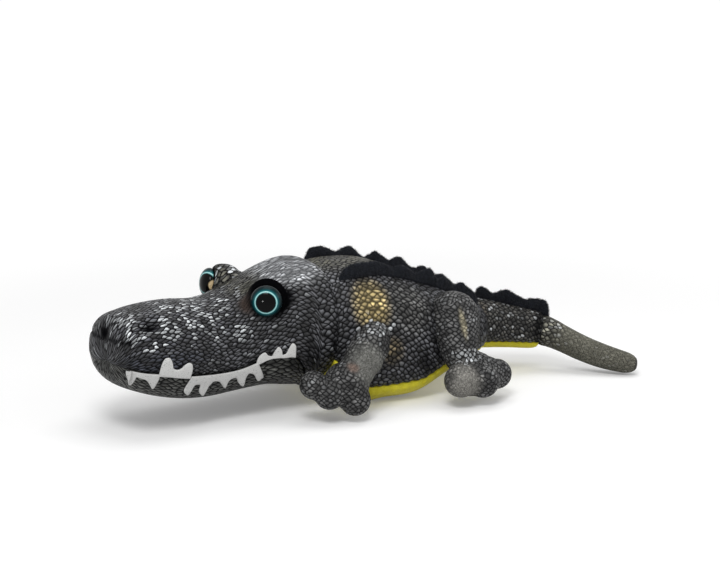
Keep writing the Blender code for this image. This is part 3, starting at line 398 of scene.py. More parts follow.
@dataclass
class SeamedSkin:
    """One of two closed skins that share a lofted form and meet at a seam line along it.

    Attributes:
        loft: The whole form.
        half: Which part this skin is.
        seam_height: Height of the seam at points of the middle line, (n,) from (n, 3).
        gap: How far this skin's edge stays off the seam.
        lip_depth: How far the edge is drawn in where it is sewn.
        lip_width: How wide that roll is.
        inset: How far the whole skin lies inside the form.
        floor_points: Points across the closing wall inside.
        gather: 0 where the cloth drops cells towards a pole, 1 where it narrows them all.
        stretch: How much longer the cells are drawn at the far pole.
        pucker: Depth of the small gathers along the seam.
        crown: How much longer the cells are drawn along the top, behind crown_place.
        crown_place: Place along the form where that starts.
    """

    loft: Loft
    half: Half
    seam_height: Callable
    gap: float = 0.0
    lip_depth: float = 0.0016
    lip_width: float = 0.0045
    inset: float = 0.0
    floor_points: int = 8
    gather: float = 0.0
    stretch: float = 0.0
    pucker: float = 0.0004
    crown: float = 0.0
    crown_place: float = 0.0

    def rows(self, step: float) -> tuple:
        """Closed rings of points, with cloth coordinates in metres and a place on the middle line.

        f(u, v): u runs along the form, v over the covered arc from one seam edge to the other, and
        then straight back inside from edge to edge. Near each edge the skin rolls in.

        Args:
            step: Wanted spacing of points.

        Returns:
            Rings (n, m, 3), cloth coordinates (n, m + 1, 2) and ring centres (n, 3).
        """
        along = np.linspace(0.0, self.loft.length, max(int(self.loft.length / step), 8))
        centre, _, _, size = self.loft.read(along)
        way = float(self.half.value)
        drop = np.maximum(size[:, 2], 1e-9)
        sunk = (centre[:, 2] - self.seam_height(centre) - way * self.gap) / drop
        angle = -np.arcsin(np.clip(sunk, 0.0, 1.0) ** (self.loft.powers[1] / 2.0))
        girth = float((size[:, 0] + size[:, 1]).max()) * 3.2
        count = max(int(girth / step), 24)
        even = np.linspace(0.0, 1.0, count)
        if self.half is Half.UPPER:
            angles = angle[:, None] + (pi - 2.0 * angle[:, None]) * even
        else:
            angles = angle[:, None] - (pi + 2.0 * angle[:, None]) * even
        arc = self.loft.points(along, angles)
        run = running_length(arc)
        total = run[:, -1:]
        edge = np.minimum(run, total - run)
        roll = np.clip(1.0 - edge / self.lip_width, 0.0, 1.0) ** 2
        open_share = rise_between(total[:, 0], 0.0, 0.012)
        inward = centre[:, None] - arc
        depth = np.linalg.norm(inward, axis=2)
        pull = roll * self.lip_depth * open_share[:, None] + self.inset
        ridge = np.clip(1.0 - edge / (2.2 * self.lip_width), 0.0, 1.0) ** 1.5
        wave = 1.0 + np.sin(2.0 * pi * along / 0.0058 + 2.0 * np.sin(along / 0.009))[:, None]
        pull = pull + self.pucker * ridge * wave * open_share[:, None]
        arc = arc + unit(inward) * np.minimum(pull, depth)[..., None]
        inner = np.linspace(0.0, 1.0, self.floor_points + 2)[1:-1]
        back = arc[:, -1:] + (arc[:, :1] - arc[:, -1:]) * inner[None, :, None]
        rings = np.concatenate((arc, back), axis=1)
        wide = np.maximum(total, 1e-6)
        wide = wide * (wide.max() / wide) ** self.gather
        cloth_v = (run / np.maximum(total, 1e-6) - 0.5) * wide
        back_v = wide / 2.0 + np.linspace(0.0, 0.02, self.floor_points + 1)[None, :]
        pulled = np.maximum(along - (self.loft.length - 0.050), 0.0)
        even_u = along - self.stretch * pulled**2 / 0.100
        edge_u = np.interp(self.crown_place, self.loft.centres[2:, 0], self.loft.knots[2:])
        behind = self.crown * np.maximum(edge_u - even_u, 0.0)[:, None]
        reach = np.concatenate((cloth_v, back_v + 0.0 * wide), axis=1)
        cloth_u = even_u[:, None] + behind * np.exp(-((reach / 0.017) ** 2))
        cloth = np.stack((cloth_u, np.concatenate((cloth_v, back_v), axis=1)), axis=-1)
        return rings, cloth, centre


def make_object(name: str, mesh: bpy.types.Mesh) -> bpy.types.Object:
    """Put a mesh into the scene as an object at the origin.

    Args:
        name: Object name.
        mesh: Its mesh.

    Returns:
        The object.
    """
    item = bpy.data.objects.new(name, mesh)
    bpy.context.scene.collection.objects.link(item)
    return item


def skin_object(name: str, rings: np.ndarray, cloth: np.ndarray,
                closed: bool = True) -> bpy.types.Object:
    """Make rings of points into an object whose UV map holds the cloth coordinates.

    Args:
        name: Object name.
        rings: Points, (n, m, 3).
        cloth: Coordinates, (n, m + 1, 2) for closed rings and (n, m, 2) for open ones.
        closed: Whether each ring's end joins its start.

    Returns:
        The object.
    """
    count, width = rings.shape[:2]
    index = np.arange(count * width).reshape(count, width)
    after = np.roll(index, -1, axis=1)
    if not closed:
        index_left, after = index[:, :-1], index[:, 1:]
    else:
        index_left = index
    faces = np.stack((index_left[:-1], index_left[1:], after[1:], after[:-1]), axis=-1)
    corners = np.stack((cloth[:-1, :-1], cloth[1:, :-1], cloth[1:, 1:], cloth[:-1, 1:]), axis=-2)
    mesh = bpy.data.meshes.new(name)
    mesh.from_pydata(rings.reshape(-1, 3).tolist(), [], faces.reshape(-1, 4).tolist())
    layer = mesh.uv_layers.new(name="cloth")
    layer.data.foreach_set("uv", corners.reshape(-1).astype(np.float32))
    shape = bmesh.new()
    shape.from_mesh(mesh)
    bmesh.ops.remove_doubles(shape, verts=shape.verts, dist=0.00002)
    bmesh.ops.dissolve_degenerate(shape, dist=0.00001, edges=shape.edges)
    bmesh.ops.recalc_face_normals(shape, faces=shape.faces)
    shape.to_mesh(mesh)
    shape.free()
    mesh.shade_smooth()
    return make_object(name, mesh)


def vertex_points(item: bpy.types.Object) -> np.ndarray:
    """The object's own vertices, (n, 3).

    Args:
        item: The object.

    Returns:
        Its points.
    """
    flat = np.empty(len(item.data.vertices) * 3, dtype=np.float32)
    item.data.vertices.foreach_get("co", flat)
    return flat.reshape(-1, 3).astype(float)


def set_points(item: bpy.types.Object, points: np.ndarray) -> None:
    """Move the object's own vertices."""
    item.data.vertices.foreach_set("co", points.astype(np.float32).reshape(-1))
    item.data.update()


def set_numbers(item: bpy.types.Object, name: str, values: np.ndarray) -> None:
    """Store one number, or one colour, for each vertex.

    Args:
        item: The object.
        name: Attribute name.
        values: Numbers (n,) or colours (n, 3).
    """
    if values.ndim == 1:
        layer = item.data.attributes.new(name, "FLOAT", "POINT")
        layer.data.foreach_set("value", values.astype(np.float32))
        return
    layer = item.data.attributes.new(name, "FLOAT_COLOR", "POINT")
    full = np.concatenate((values, np.ones((len(values), 1))), axis=1)
    layer.data.foreach_set("color", full.astype(np.float32).reshape(-1))


def bake(item: bpy.types.Object) -> None:
    """Apply the object's modifiers to its mesh.

    Args:
        item: The object.
    """
    reader = bpy.context.evaluated_depsgraph_get()
    reader.update()
    mesh = bpy.data.meshes.new_from_object(item.evaluated_get(reader))
    item.modifiers.clear()
    old = item.data
    item.data = mesh
    mesh.name = item.name
    bpy.data.meshes.remove(old)


# Materials


class Web:
    """A material's shader nodes, added and joined in short calls."""

    def __init__(self, name: str) -> None:
        """Start an empty material.

        Args:
            name: Material name.
        """
        self.material = bpy.data.materials.new(name)
        self.material.use_nodes = True
        self.tree = self.material.node_tree
        self.shader = self.tree.nodes["Principled BSDF"]

    def plug(self, socket: Socket, value: Value) -> None:
        """Join an output to a socket, or set the socket's own value.

        Args:
            socket: The socket.
            value: Output to join, or value to set.
        """
        if isinstance(value, bpy.types.NodeSocket):
            self.tree.links.new(value, socket)
        else:
            socket.default_value = value

    def add(self, kind: str, inputs: dict, **settings) -> bpy.types.Node:
        """Add a node.

        Args:
            kind: The node's type.
            inputs: Socket name or index to value or output.
            **settings: The node's own properties.

        Returns:
            The node.
        """
        node = self.tree.nodes.new(kind)
        for name, value in settings.items():
            setattr(node, name, value)
        for name, value in inputs.items():
            self.plug(node.inputs[name], value)
        return node

    def math(self, operation: str, first: Value, second: Value, clamp: bool = False) -> Socket:
        """Arithmetic on two numbers."""
        return self.add("ShaderNodeMath", {0: first, 1: second}, operation=operation,
                        use_clamp=clamp).outputs[0]

    def times(self, first: Value, second: Value, clamp: bool = False) -> Socket:
        """Product of two numbers."""
        return self.math("MULTIPLY", first, second, clamp)

    def plus(self, first: Value, second: Value, clamp: bool = False) -> Socket:
        """Sum of two numbers."""
        return self.math("ADD", first, second, clamp)

    def minus(self, first: Value, second: Value) -> Socket:
        """First number less the second."""
        return self.math("SUBTRACT", first, second)

    def span(self, value: Value, low: float, high: float, start: float = 0.0,
             end: float = 1.0) -> Socket:
        """Smooth step of a number between two limits.

        Args:
            value: The number.
            low: Where the step starts.
            high: Where it ends.
            start: Result below it.
            end: Result above it.

        Returns:
            The output socket.
        """
        return self.add("ShaderNodeMapRange", {
            "Value": value, "From Min": low, "From Max": high, "To Min": start, "To Max": end,
        }, interpolation_type="SMOOTHSTEP").outputs[0]

    def mix(self, factor: Value, first: Value, second: Value, blend: str = "MIX") -> Socket:
        """Mix of two colours."""
        return self.add("ShaderNodeMix", {0: factor, 6: first, 7: second}, data_type="RGBA",
                        blend_type=blend, clamp_factor=True).outputs[2]

    def blend_number(self, factor: Value, first: Value, second: Value) -> Socket:
        """Mix of two numbers."""
        return self.add("ShaderNodeMix", {0: factor, 2: first, 3: second}, data_type="FLOAT",
                        clamp_factor=True).outputs[0]

    def noise(self, vector: Socket, scale: float, detail: float = 2.0,
              rough: float = 0.5) -> Socket:
        """Noise from about 0 to 1.

        Args:
            vector: Coordinates.
            scale: How fine it is.
            detail: How many finer layers it has.
            rough: How strong these are.

        Returns:
            The output socket.
        """
        return self.add("ShaderNodeTexNoise", {
            "Vector": vector, "Scale": scale, "Detail": detail, "Roughness": rough,
        }).outputs[0]

    def space(self) -> Socket:
        """The object's own space."""
        return self.add("ShaderNodeTexCoord", {}).outputs["Object"]

    def bump(self, strength: float, distance: float, height: Socket) -> Socket:
        """Normals that a height raises."""
        return self.add("ShaderNodeBump", {
            "Strength": strength, "Distance": distance, "Height": height,
        }).outputs[0]

    def number(self, name: str) -> Socket:
        """A number stored on the mesh."""
        return self.add("ShaderNodeAttribute", {}, attribute_name=name).outputs["Fac"]

    def colour(self, name: str) -> Socket:
        """A colour stored on the mesh."""
        return self.add("ShaderNodeAttribute", {}, attribute_name=name).outputs["Color"]

    def set(self, **values) -> None:
        """Fill the shader's sockets, with underscores for the spaces in their names."""
        for name, value in values.items():
            self.plug(self.shader.inputs[name.replace("_", " ")], value)


@dataclass(frozen=True)
class ScaleCloth:
    """Printed scale cloth: small puffed light cells on a near-black ground, some with foil. Each
    cell has painted shade towards its edge and painted light on its upper side, and foil cells are
    painted white as painted highlights.

    Attributes:
        name: Material name.
        cell: Spacing of the cells.
        jitter: How uneven the cells' places are.
        stretch: How much longer than wide a cell is, as a root.
        painted_light_tilt: Painted light: how much lighter a cell is on its upper side.
        light_start: Where a cell's light middle starts, from its edge.
        light_full: Where it is at its lightest.
        puff: Height of a cell.
    """

    name: str
    cell: float = 0.0036
    jitter: float = 0.60
    stretch: float = 1.2
    painted_light_tilt: float = 1.2
    light_start: float = 0.040
    light_full: float = 0.165
    puff: float = 0.00036

    def build(self) -> bpy.types.Material:
        """The material. It reads the mesh's cloth UV map, print colour, glint, fine and shade.

        Returns:
            The material.
        """
        web = Web(self.name)
        cloth = web.add("ShaderNodeUVMap", {}, uv_map="cloth").outputs[0]
        space = web.space()
        parts = web.add("ShaderNodeSeparateXYZ", {0: cloth})
        along = web.times(parts.outputs[0], 0.7071 / self.cell / self.stretch)
        across = web.times(parts.outputs[1], 0.7071 / self.cell * self.stretch)
        cells = web.add("ShaderNodeCombineXYZ", {0: web.plus(along, across),
                                                 1: web.minus(across, along)}).outputs[0]
        wander = web.add("ShaderNodeTexNoise", {"Vector": cells, "Scale": 0.30, "Detail": 1.0})
        pushed = web.add("ShaderNodeVectorMath", {0: wander.outputs["Color"], 3: 1.1},
                         operation="SCALE").outputs[0]
        spot = web.add("ShaderNodeVectorMath", {0: cells, 1: pushed}, operation="ADD").outputs[0]
        edge = web.add("ShaderNodeTexVoronoi", {"Vector": spot, "Scale": 1.0,
                       "Randomness": self.jitter}, voronoi_dimensions="2D",
                       feature="DISTANCE_TO_EDGE").outputs["Distance"]
        cell = web.add("ShaderNodeTexVoronoi", {"Vector": spot, "Scale": 1.0,
                       "Randomness": self.jitter}, voronoi_dimensions="2D", feature="F1")
        chance = web.add("ShaderNodeSeparateColor", {0: cell.outputs["Color"]})
        inside = web.add("ShaderNodeVectorMath", {0: spot, 1: cell.outputs["Position"]},
                         operation="SUBTRACT").outputs[0]
        inside = web.add("ShaderNodeSeparateXYZ", {0: inside})
        rising = web.plus(inside.outputs[0], inside.outputs[1])
        # Painted light: a cell is lighter on the side that faces up, going by which way the cloth's
        # v runs from the top.
        facing = web.span(parts.outputs[1], -0.012, 0.012, self.painted_light_tilt, -self.painted_light_tilt)
        upper = web.plus(0.5, web.times(rising, facing), clamp=True)
        dome = web.span(cell.outputs["Distance"], 0.66, 0.10)
        middle = web.span(edge, self.light_start, self.light_full)
        grain = web.noise(space, 1500.0, 3.0)
        weave = web.noise(space, 5200.0, 1.0)
        cloud = web.noise(space, 95.0, 2.0)
        fine = web.number("fine")
        shade = web.number("shade")
        glint = web.number("glint")
        print_colour = web.colour("print")
        strength = web.plus(0.25, web.times(chance.outputs[0], 1.9))
        # Painted shade: a cell darkens from its middle to its edge, as a puffed cell under a top
        # light does.
        strength = web.times(strength, web.plus(0.16, dome))
        strength = web.times(strength, web.plus(0.40, web.times(upper, 1.3)))
        strength = web.times(strength, web.plus(0.55, web.times(grain, 0.9)))
        strength = web.times(strength, web.span(cloud, 0.32, 0.64, 0.45, 1.45))
        light = self.tinted(web, print_colour, strength)
        # Painted highlight: the foil is printed, but the white colour of the foil cells stands in
        # for the highlights that they throw, lighter on their upper side; glint sets how many cells
        # take it.
        gate = web.minus(chance.outputs[1], web.minus(1.0, web.times(glint, 0.75)))
        gate = web.times(gate, 2.8, clamp=True)
        foil = web.times(gate, web.span(dome, 0.22, 0.50), clamp=True)
        foil = web.times(foil, web.span(edge, 0.02, 0.10))
        sparkle = web.plus(0.20, web.times(chance.outputs[0], 0.75))
        sparkle = web.times(sparkle, web.plus(0.62, web.times(upper, 0.6)))
        sparkle = web.times(sparkle, web.span(grain, 0.30, 0.62, 0.6, 1.15))
        painted_glint_colour = web.add("ShaderNodeCombineColor", {
            0: web.times(sparkle, 0.96), 1: sparkle, 2: web.times(sparkle, 1.03),
        }).outputs[0]
        light = web.mix(foil, light, painted_glint_colour)
        ground = web.mix(1.0, print_colour, (0.050, 0.050, 0.058, 1.0), "MULTIPLY")
        scaled = web.mix(middle, ground, light)
        mottled = web.plus(0.26, web.times(web.span(grain, 0.30, 0.70), 0.85))
        mottled = web.times(mottled, web.plus(0.7, web.times(weave, 0.6)))
        smooth = self.tinted(web, print_colour, mottled)
        colour = web.mix(fine, scaled, smooth)
        # Black where shade is set: black print round the eyes, and painted shade in the nostrils,
        # the nose's fold and the tail's crease.
        colour = web.mix(shade, colour, (0.0025, 0.0025, 0.0030, 1.0))
        open_cells = web.minus(1.0, fine)
        raised = web.times(web.times(middle, dome), open_cells)
        height = web.plus(raised, web.times(weave, 0.16))
        height = web.plus(height, web.times(grain, 0.16))
        bump = web.bump(0.9, self.puff, height)
        rough = web.blend_number(middle, 0.70, 0.42)
        rough = web.blend_number(foil, rough, 0.26)
        rough = web.blend_number(fine, rough, 0.75)
        gloss = web.blend_number(middle, 0.06, 0.30)
        gloss = web.blend_number(fine, gloss, 0.12)
        gloss = web.blend_number(shade, gloss, 0.0)
        rough = web.blend_number(shade, rough, 0.95)
        web.set(Base_Color=colour, Roughness=rough, Normal=bump, Specular_IOR_Level=gloss)
        return web.material

    def tinted(self, web: Web, colour: Socket, strength: Socket) -> Socket:
        """A colour times a number."""
        grey = web.add("ShaderNodeCombineColor", {0: strength, 1: strength, 2: strength})
        return web.mix(1.0, colour, grey.outputs[0], "MULTIPLY")


@dataclass(frozen=True)
class PlushPile:
    """Short plush pile, soft and even in colour, with fine fibre shading.

    Attributes:
        name: Material name.
        low: Colour between the fibres.
        high: Colour of the fibres' tips.
        fibre: How fine the fibres are.
        clump: How fine their clumps are.
        depth: Height of the pile in the shading.
        sheen: Strength of the sheen.
    """

    name: str
    low: tuple
    high: tuple
    fibre: float = 2600.0
    clump: float = 420.0
    depth: float = 0.00045
    sheen: float = 0.25

    def build(self) -> bpy.types.Material:
        """The material, drawn in the object's own space.

        Returns:
            The material.
        """
        web = Web(self.name)
        space = web.space()
        fibre = web.noise(space, self.fibre, 3.0, 0.65)
        clump = web.noise(space, self.clump, 2.0)
        share = web.plus(web.times(fibre, 0.65), web.times(clump, 0.35))
        colour = web.mix(web.span(share, 0.34, 0.66), (*self.low, 1.0), (*self.high, 1.0))
        bump = web.bump(0.8, self.depth, share)
        rough = web.span(fibre, 0.3, 0.7, 0.95, 0.82)
        web.set(Base_Color=colour, Roughness=rough, Normal=bump, Sheen_Weight=self.sheen,
                Sheen_Roughness=0.4, Specular_IOR_Level=0.2)
        return web.material


@dataclass(frozen=True)
class Felt:
    """Pressed white felt with scattered grey flecks.

    Attributes:
        name: Material name.
    """

    name: str

    def build(self) -> bpy.types.Material:
        """The material, drawn in the object's own space.

        Returns:
            The material.
        """
        web = Web(self.name)
        space = web.space()
        flecks = web.noise(space, 1500.0, 2.0, 0.6)
        fibres = web.noise(space, 3800.0, 3.0, 0.7)
        spots = web.span(flecks, 0.60, 0.70)
        pale = web.mix(web.span(fibres, 0.3, 0.7), (0.52, 0.52, 0.51, 1.0), (0.70, 0.70, 0.69, 1.0))
        colour = web.mix(web.times(spots, 0.8), pale, (0.16, 0.16, 0.17, 1.0))
        bump = web.bump(0.7, 0.00025, fibres)
        rough = web.span(fibres, 0.3, 0.7, 0.95, 0.85)
        web.set(Base_Color=colour, Roughness=rough, Normal=bump, Sheen_Weight=0.2,
                Specular_IOR_Level=0.2)
        return web.material


@dataclass(frozen=True)
class EyeGloss:
    """Polished moulded eye: black pupil, thin bright ring, dark teal rim.

    Attributes:
        name: Material name.
        gleam: Middle of a painted warm reflection in the pupil, from the eye's middle; none where
            empty.
    """

    name: str
    gleam: tuple = ()

    def build(self) -> bpy.types.Material:
        """The material. The cloth UV map holds the place across the eye's axis, in metres.

        Returns:
            The material.
        """
        web = Web(self.name)
        disc = web.add("ShaderNodeUVMap", {}, uv_map="cloth").outputs[0]
        radius = web.add("ShaderNodeVectorMath", {0: disc}, operation="LENGTH").outputs["Value"]
        streak = web.noise(disc, 900.0, 2.0)
        radius = web.plus(radius, web.times(web.minus(streak, 0.5), 0.0002))
        ramp = web.add("ShaderNodeValToRGB", {0: web.times(radius, 100.0)})
        stops = ramp.color_ramp.elements
        stops[0].position, stops[0].color = 0.560, (0.0012, 0.0012, 0.0015, 1.0)
        stops[1].position, stops[1].color = 0.960, (0.001, 0.004, 0.005, 1.0)
        for place, tone in (
            (0.590, (0.010, 0.075, 0.080, 1.0)),
            (0.620, (0.32, 0.62, 0.62, 1.0)),
            (0.655, (0.44, 0.76, 0.76, 1.0)),
            (0.680, (0.030, 0.200, 0.215, 1.0)),
            (0.730, (0.006, 0.075, 0.085, 1.0)),
            (0.810, (0.002, 0.020, 0.024, 1.0)),
        ):
            stop = stops.new(place)
            stop.color = tone
        colour = ramp.outputs[0]
        # Painted reflection: a warm gleam painted into the pupil.
        if self.gleam:
            moved = web.add("ShaderNodeVectorMath", {0: disc, 1: (*self.gleam, 0.0)},
                            operation="SUBTRACT").outputs[0]
            away = web.add("ShaderNodeVectorMath", {0: moved}, operation="LENGTH").outputs["Value"]
            away = web.plus(away, web.times(streak, 0.0014))
            painted_gleam = web.mix(streak, (0.32, 0.20, 0.07, 1.0), (0.80, 0.66, 0.42, 1.0))
            colour = web.mix(web.span(away, 0.0040, 0.0048, 1.0, 0.0), colour, painted_gleam)
        scuff = web.noise(disc, 2500.0, 2.0)
        web.set(Base_Color=colour, Roughness=web.span(scuff, 0.3, 0.7, 0.05, 0.09),
                Specular_IOR_Level=0.09)
        return web.material


@dataclass(frozen=True)
class Moulded:
    """Plain moulded plastic with a faint orange-peel surface.

    Attributes:
        name: Material name.
        colour: Its colour.
        roughness: Its roughness.
    """

    name: str
    colour: tuple
    roughness: float

    def build(self) -> bpy.types.Material:
        """The material, drawn in the object's own space.

        Returns:
            The material.
        """
        web = Web(self.name)
        space = web.space()
        peel = web.noise(space, 1800.0, 2.0)
        tone = web.mix(web.span(peel, 0.3, 0.7), (*(0.86 * part for part in self.colour), 1.0),
                       (*self.colour, 1.0))
        bump = web.bump(0.2, 0.0001, peel)
        web.set(Base_Color=tone, Roughness=self.roughness, Normal=bump)
        return web.material


# Printed colour over the skins, with painted highlights on foil cells and painted shade


@dataclass(frozen=True)
class Patch:
    """A soft-edged patch laid over the print; where it sets glint it paints highlights on foil
    cells.

    Attributes:
        place: Middle of the patch on the left side.
        reach: How far it spreads along X, Y and Z.
        colour: Print colour that it sets, if any; on the crown, a painted sheen.
        glint: Share of foil cells, painted white as painted highlights, that it sets, if any.
        fine: How much it hides the cells, if it does.
        shade: How black it makes the cloth, if it does.
        both: Whether the right side has it too.
        strength: How fully it sets them in its middle.
    """

    place: tuple
    reach: tuple
    colour: tuple = None
    glint: float = None
    fine: float = None
    shade: float = None
    both: bool = True
    strength: float = 1.0

    def weight(self, points: np.ndarray) -> np.ndarray:
        """Share of the patch at each point: 1 in the middle, 0 beyond its soft edge.

        Args:
            points: Points, (n, 3).

        Returns:
            Shares, (n,).
        """
        seen = points.copy()
        if self.both:
            seen[:, 1] = -np.abs(seen[:, 1])
        away = np.linalg.norm((seen - np.array(self.place)) / np.array(self.reach), axis=1)
        return self.strength * rise_between(-away, -1.25, -0.45)


BASE_PRINT = (0.042, 0.043, 0.047)
JAW_PRINT = (0.046, 0.047, 0.043)
OLIVE_PRINT = (0.052, 0.050, 0.036)
GOLD_PRINT = (0.380, 0.295, 0.130)
PALE_PRINT = (0.300, 0.290, 0.265)
GREY_PRINT = (0.200, 0.200, 0.185)
TAIL_PRINT = (0.150, 0.146, 0.118)
LEG_PRINT = (0.066, 0.066, 0.066)
TAIL_BASE_PRINT = (0.034, 0.033, 0.030)


@dataclass
class Print:
    """The cloth's printed colour, as base values and patches laid over them.

    Attributes:
        colour: Print colour.
        glint: Share of foil cells, which are painted white as painted highlights.
        fine: 0 where the cells show, 1 where the print is fine and mottled.
        patches: Patches laid over these, in order.
    """

    colour: tuple = BASE_PRINT
    glint: float = 0.15
    fine: float = 0.0
    patches: tuple = ()

    def lay(self, item: bpy.types.Object, shade: np.ndarray = None) -> None:
        """Store print, glint, fine and shade on an object's vertices.

        Args:
            item: The object.
            shade: How black each vertex is, from black print and from painted shade; none where
                empty.
        """
        points = vertex_points(item)
        count = len(points)
        colour = np.tile(np.array(self.colour, float), (count, 1))
        colour = colour * (1.0 + 0.18 * ripple(points, 0.045, 1.0))[:, None]
        numbers = {
            "glint": np.full(count, self.glint),
            "fine": np.full(count, self.fine),
            "shade": np.zeros(count) if shade is None else shade,
        }
        for patch in self.patches:
            weight = patch.weight(points)
            if patch.colour is not None:
                colour = colour + (np.array(patch.colour) - colour) * weight[:, None]
            for name in numbers:
                value = getattr(patch, name)
                if value is not None:
                    numbers[name] = numbers[name] + (value - numbers[name]) * weight
        set_numbers(item, "print", colour)
        for name, values in numbers.items():
            set_numbers(item, name, values)


# Head


def eye_axis(side: float) -> np.ndarray:
    """Where an eye looks, in the head's space; side is 1 on the head's left.

    Args:
        side: 1 on the head's left, -1 on its right.

    Returns:
        A direction, (3,).
    """
    turn = LEFT_EYE_TURN if side > 0 else RIGHT_EYE_TURN
    return np.array([
        sin(turn) * cos(EYE_TILT),
        side * cos(turn) * cos(EYE_TILT),
        sin(EYE_TILT),
    ])


def upper_rear(side: float) -> np.ndarray:
    """The way across an eye that points up and to the rear, in the head's space.

    Args:
        side: 1 on the head's left, -1 on its right.

    Returns:
        A direction, (3,).
    """
    level = side * unit(np.cross((0.0, 0.0, 1.0), eye_axis(side)))
    upright = side * np.cross(eye_axis(side), level)
    return 0.8 * upright + 0.6 * level


def brow_centre(side: float) -> np.ndarray:
    """Centre of the round brow that carries an eye, in the head's space."""
    lift = 0.306 if side > 0 else 0.292
    return np.array([0.310 * HEAD_LENGTH, side * 0.338 * HEAD_WIDTH, lift * HEAD_HEIGHT])


@dataclass(frozen=True)
class Nostril:
    """A sewn dimple on the snout, in the head's space.

    Attributes:
        place: Its middle.
        radius: Half its width.
        depth: How deep it is.
        length: How much longer than wide it is.
    """

    place: tuple
    radius: float = 0.0040
    depth: float = 0.0026
    length: float = 1.0

    def away(self, points: np.ndarray) -> np.ndarray:
        """Distance from the dimple's middle, counted shorter along its length.

        Args:
            points: Points of the head's space, (..., 3).

        Returns:
            Distances, (...).
        """
        moved = points - np.array(self.place)
        slant = moved @ np.array(NOSTRIL_SLANT)
        square = (moved**2).sum(axis=-1) - slant**2 * (1.0 - self.length**-2)
        return np.sqrt(np.maximum(square, 0.0))


def mouth_height(centre: np.ndarray) -> np.ndarray:
    """Height of the mouth seam at points of the head's middle line.

    Args:
        centre: Points, (n, 3).

    Returns:
        Heights, (n,).
    """
    rows = np.array(MOUTH_ROWS)
    found = hermite(centre[:, 0] / HEAD_LENGTH, rows[:, 0], rows[:, 1])
    return np.where(centre[:, 0] < rows[0, 0] * HEAD_LENGTH, -1.0, found * HEAD_HEIGHT)


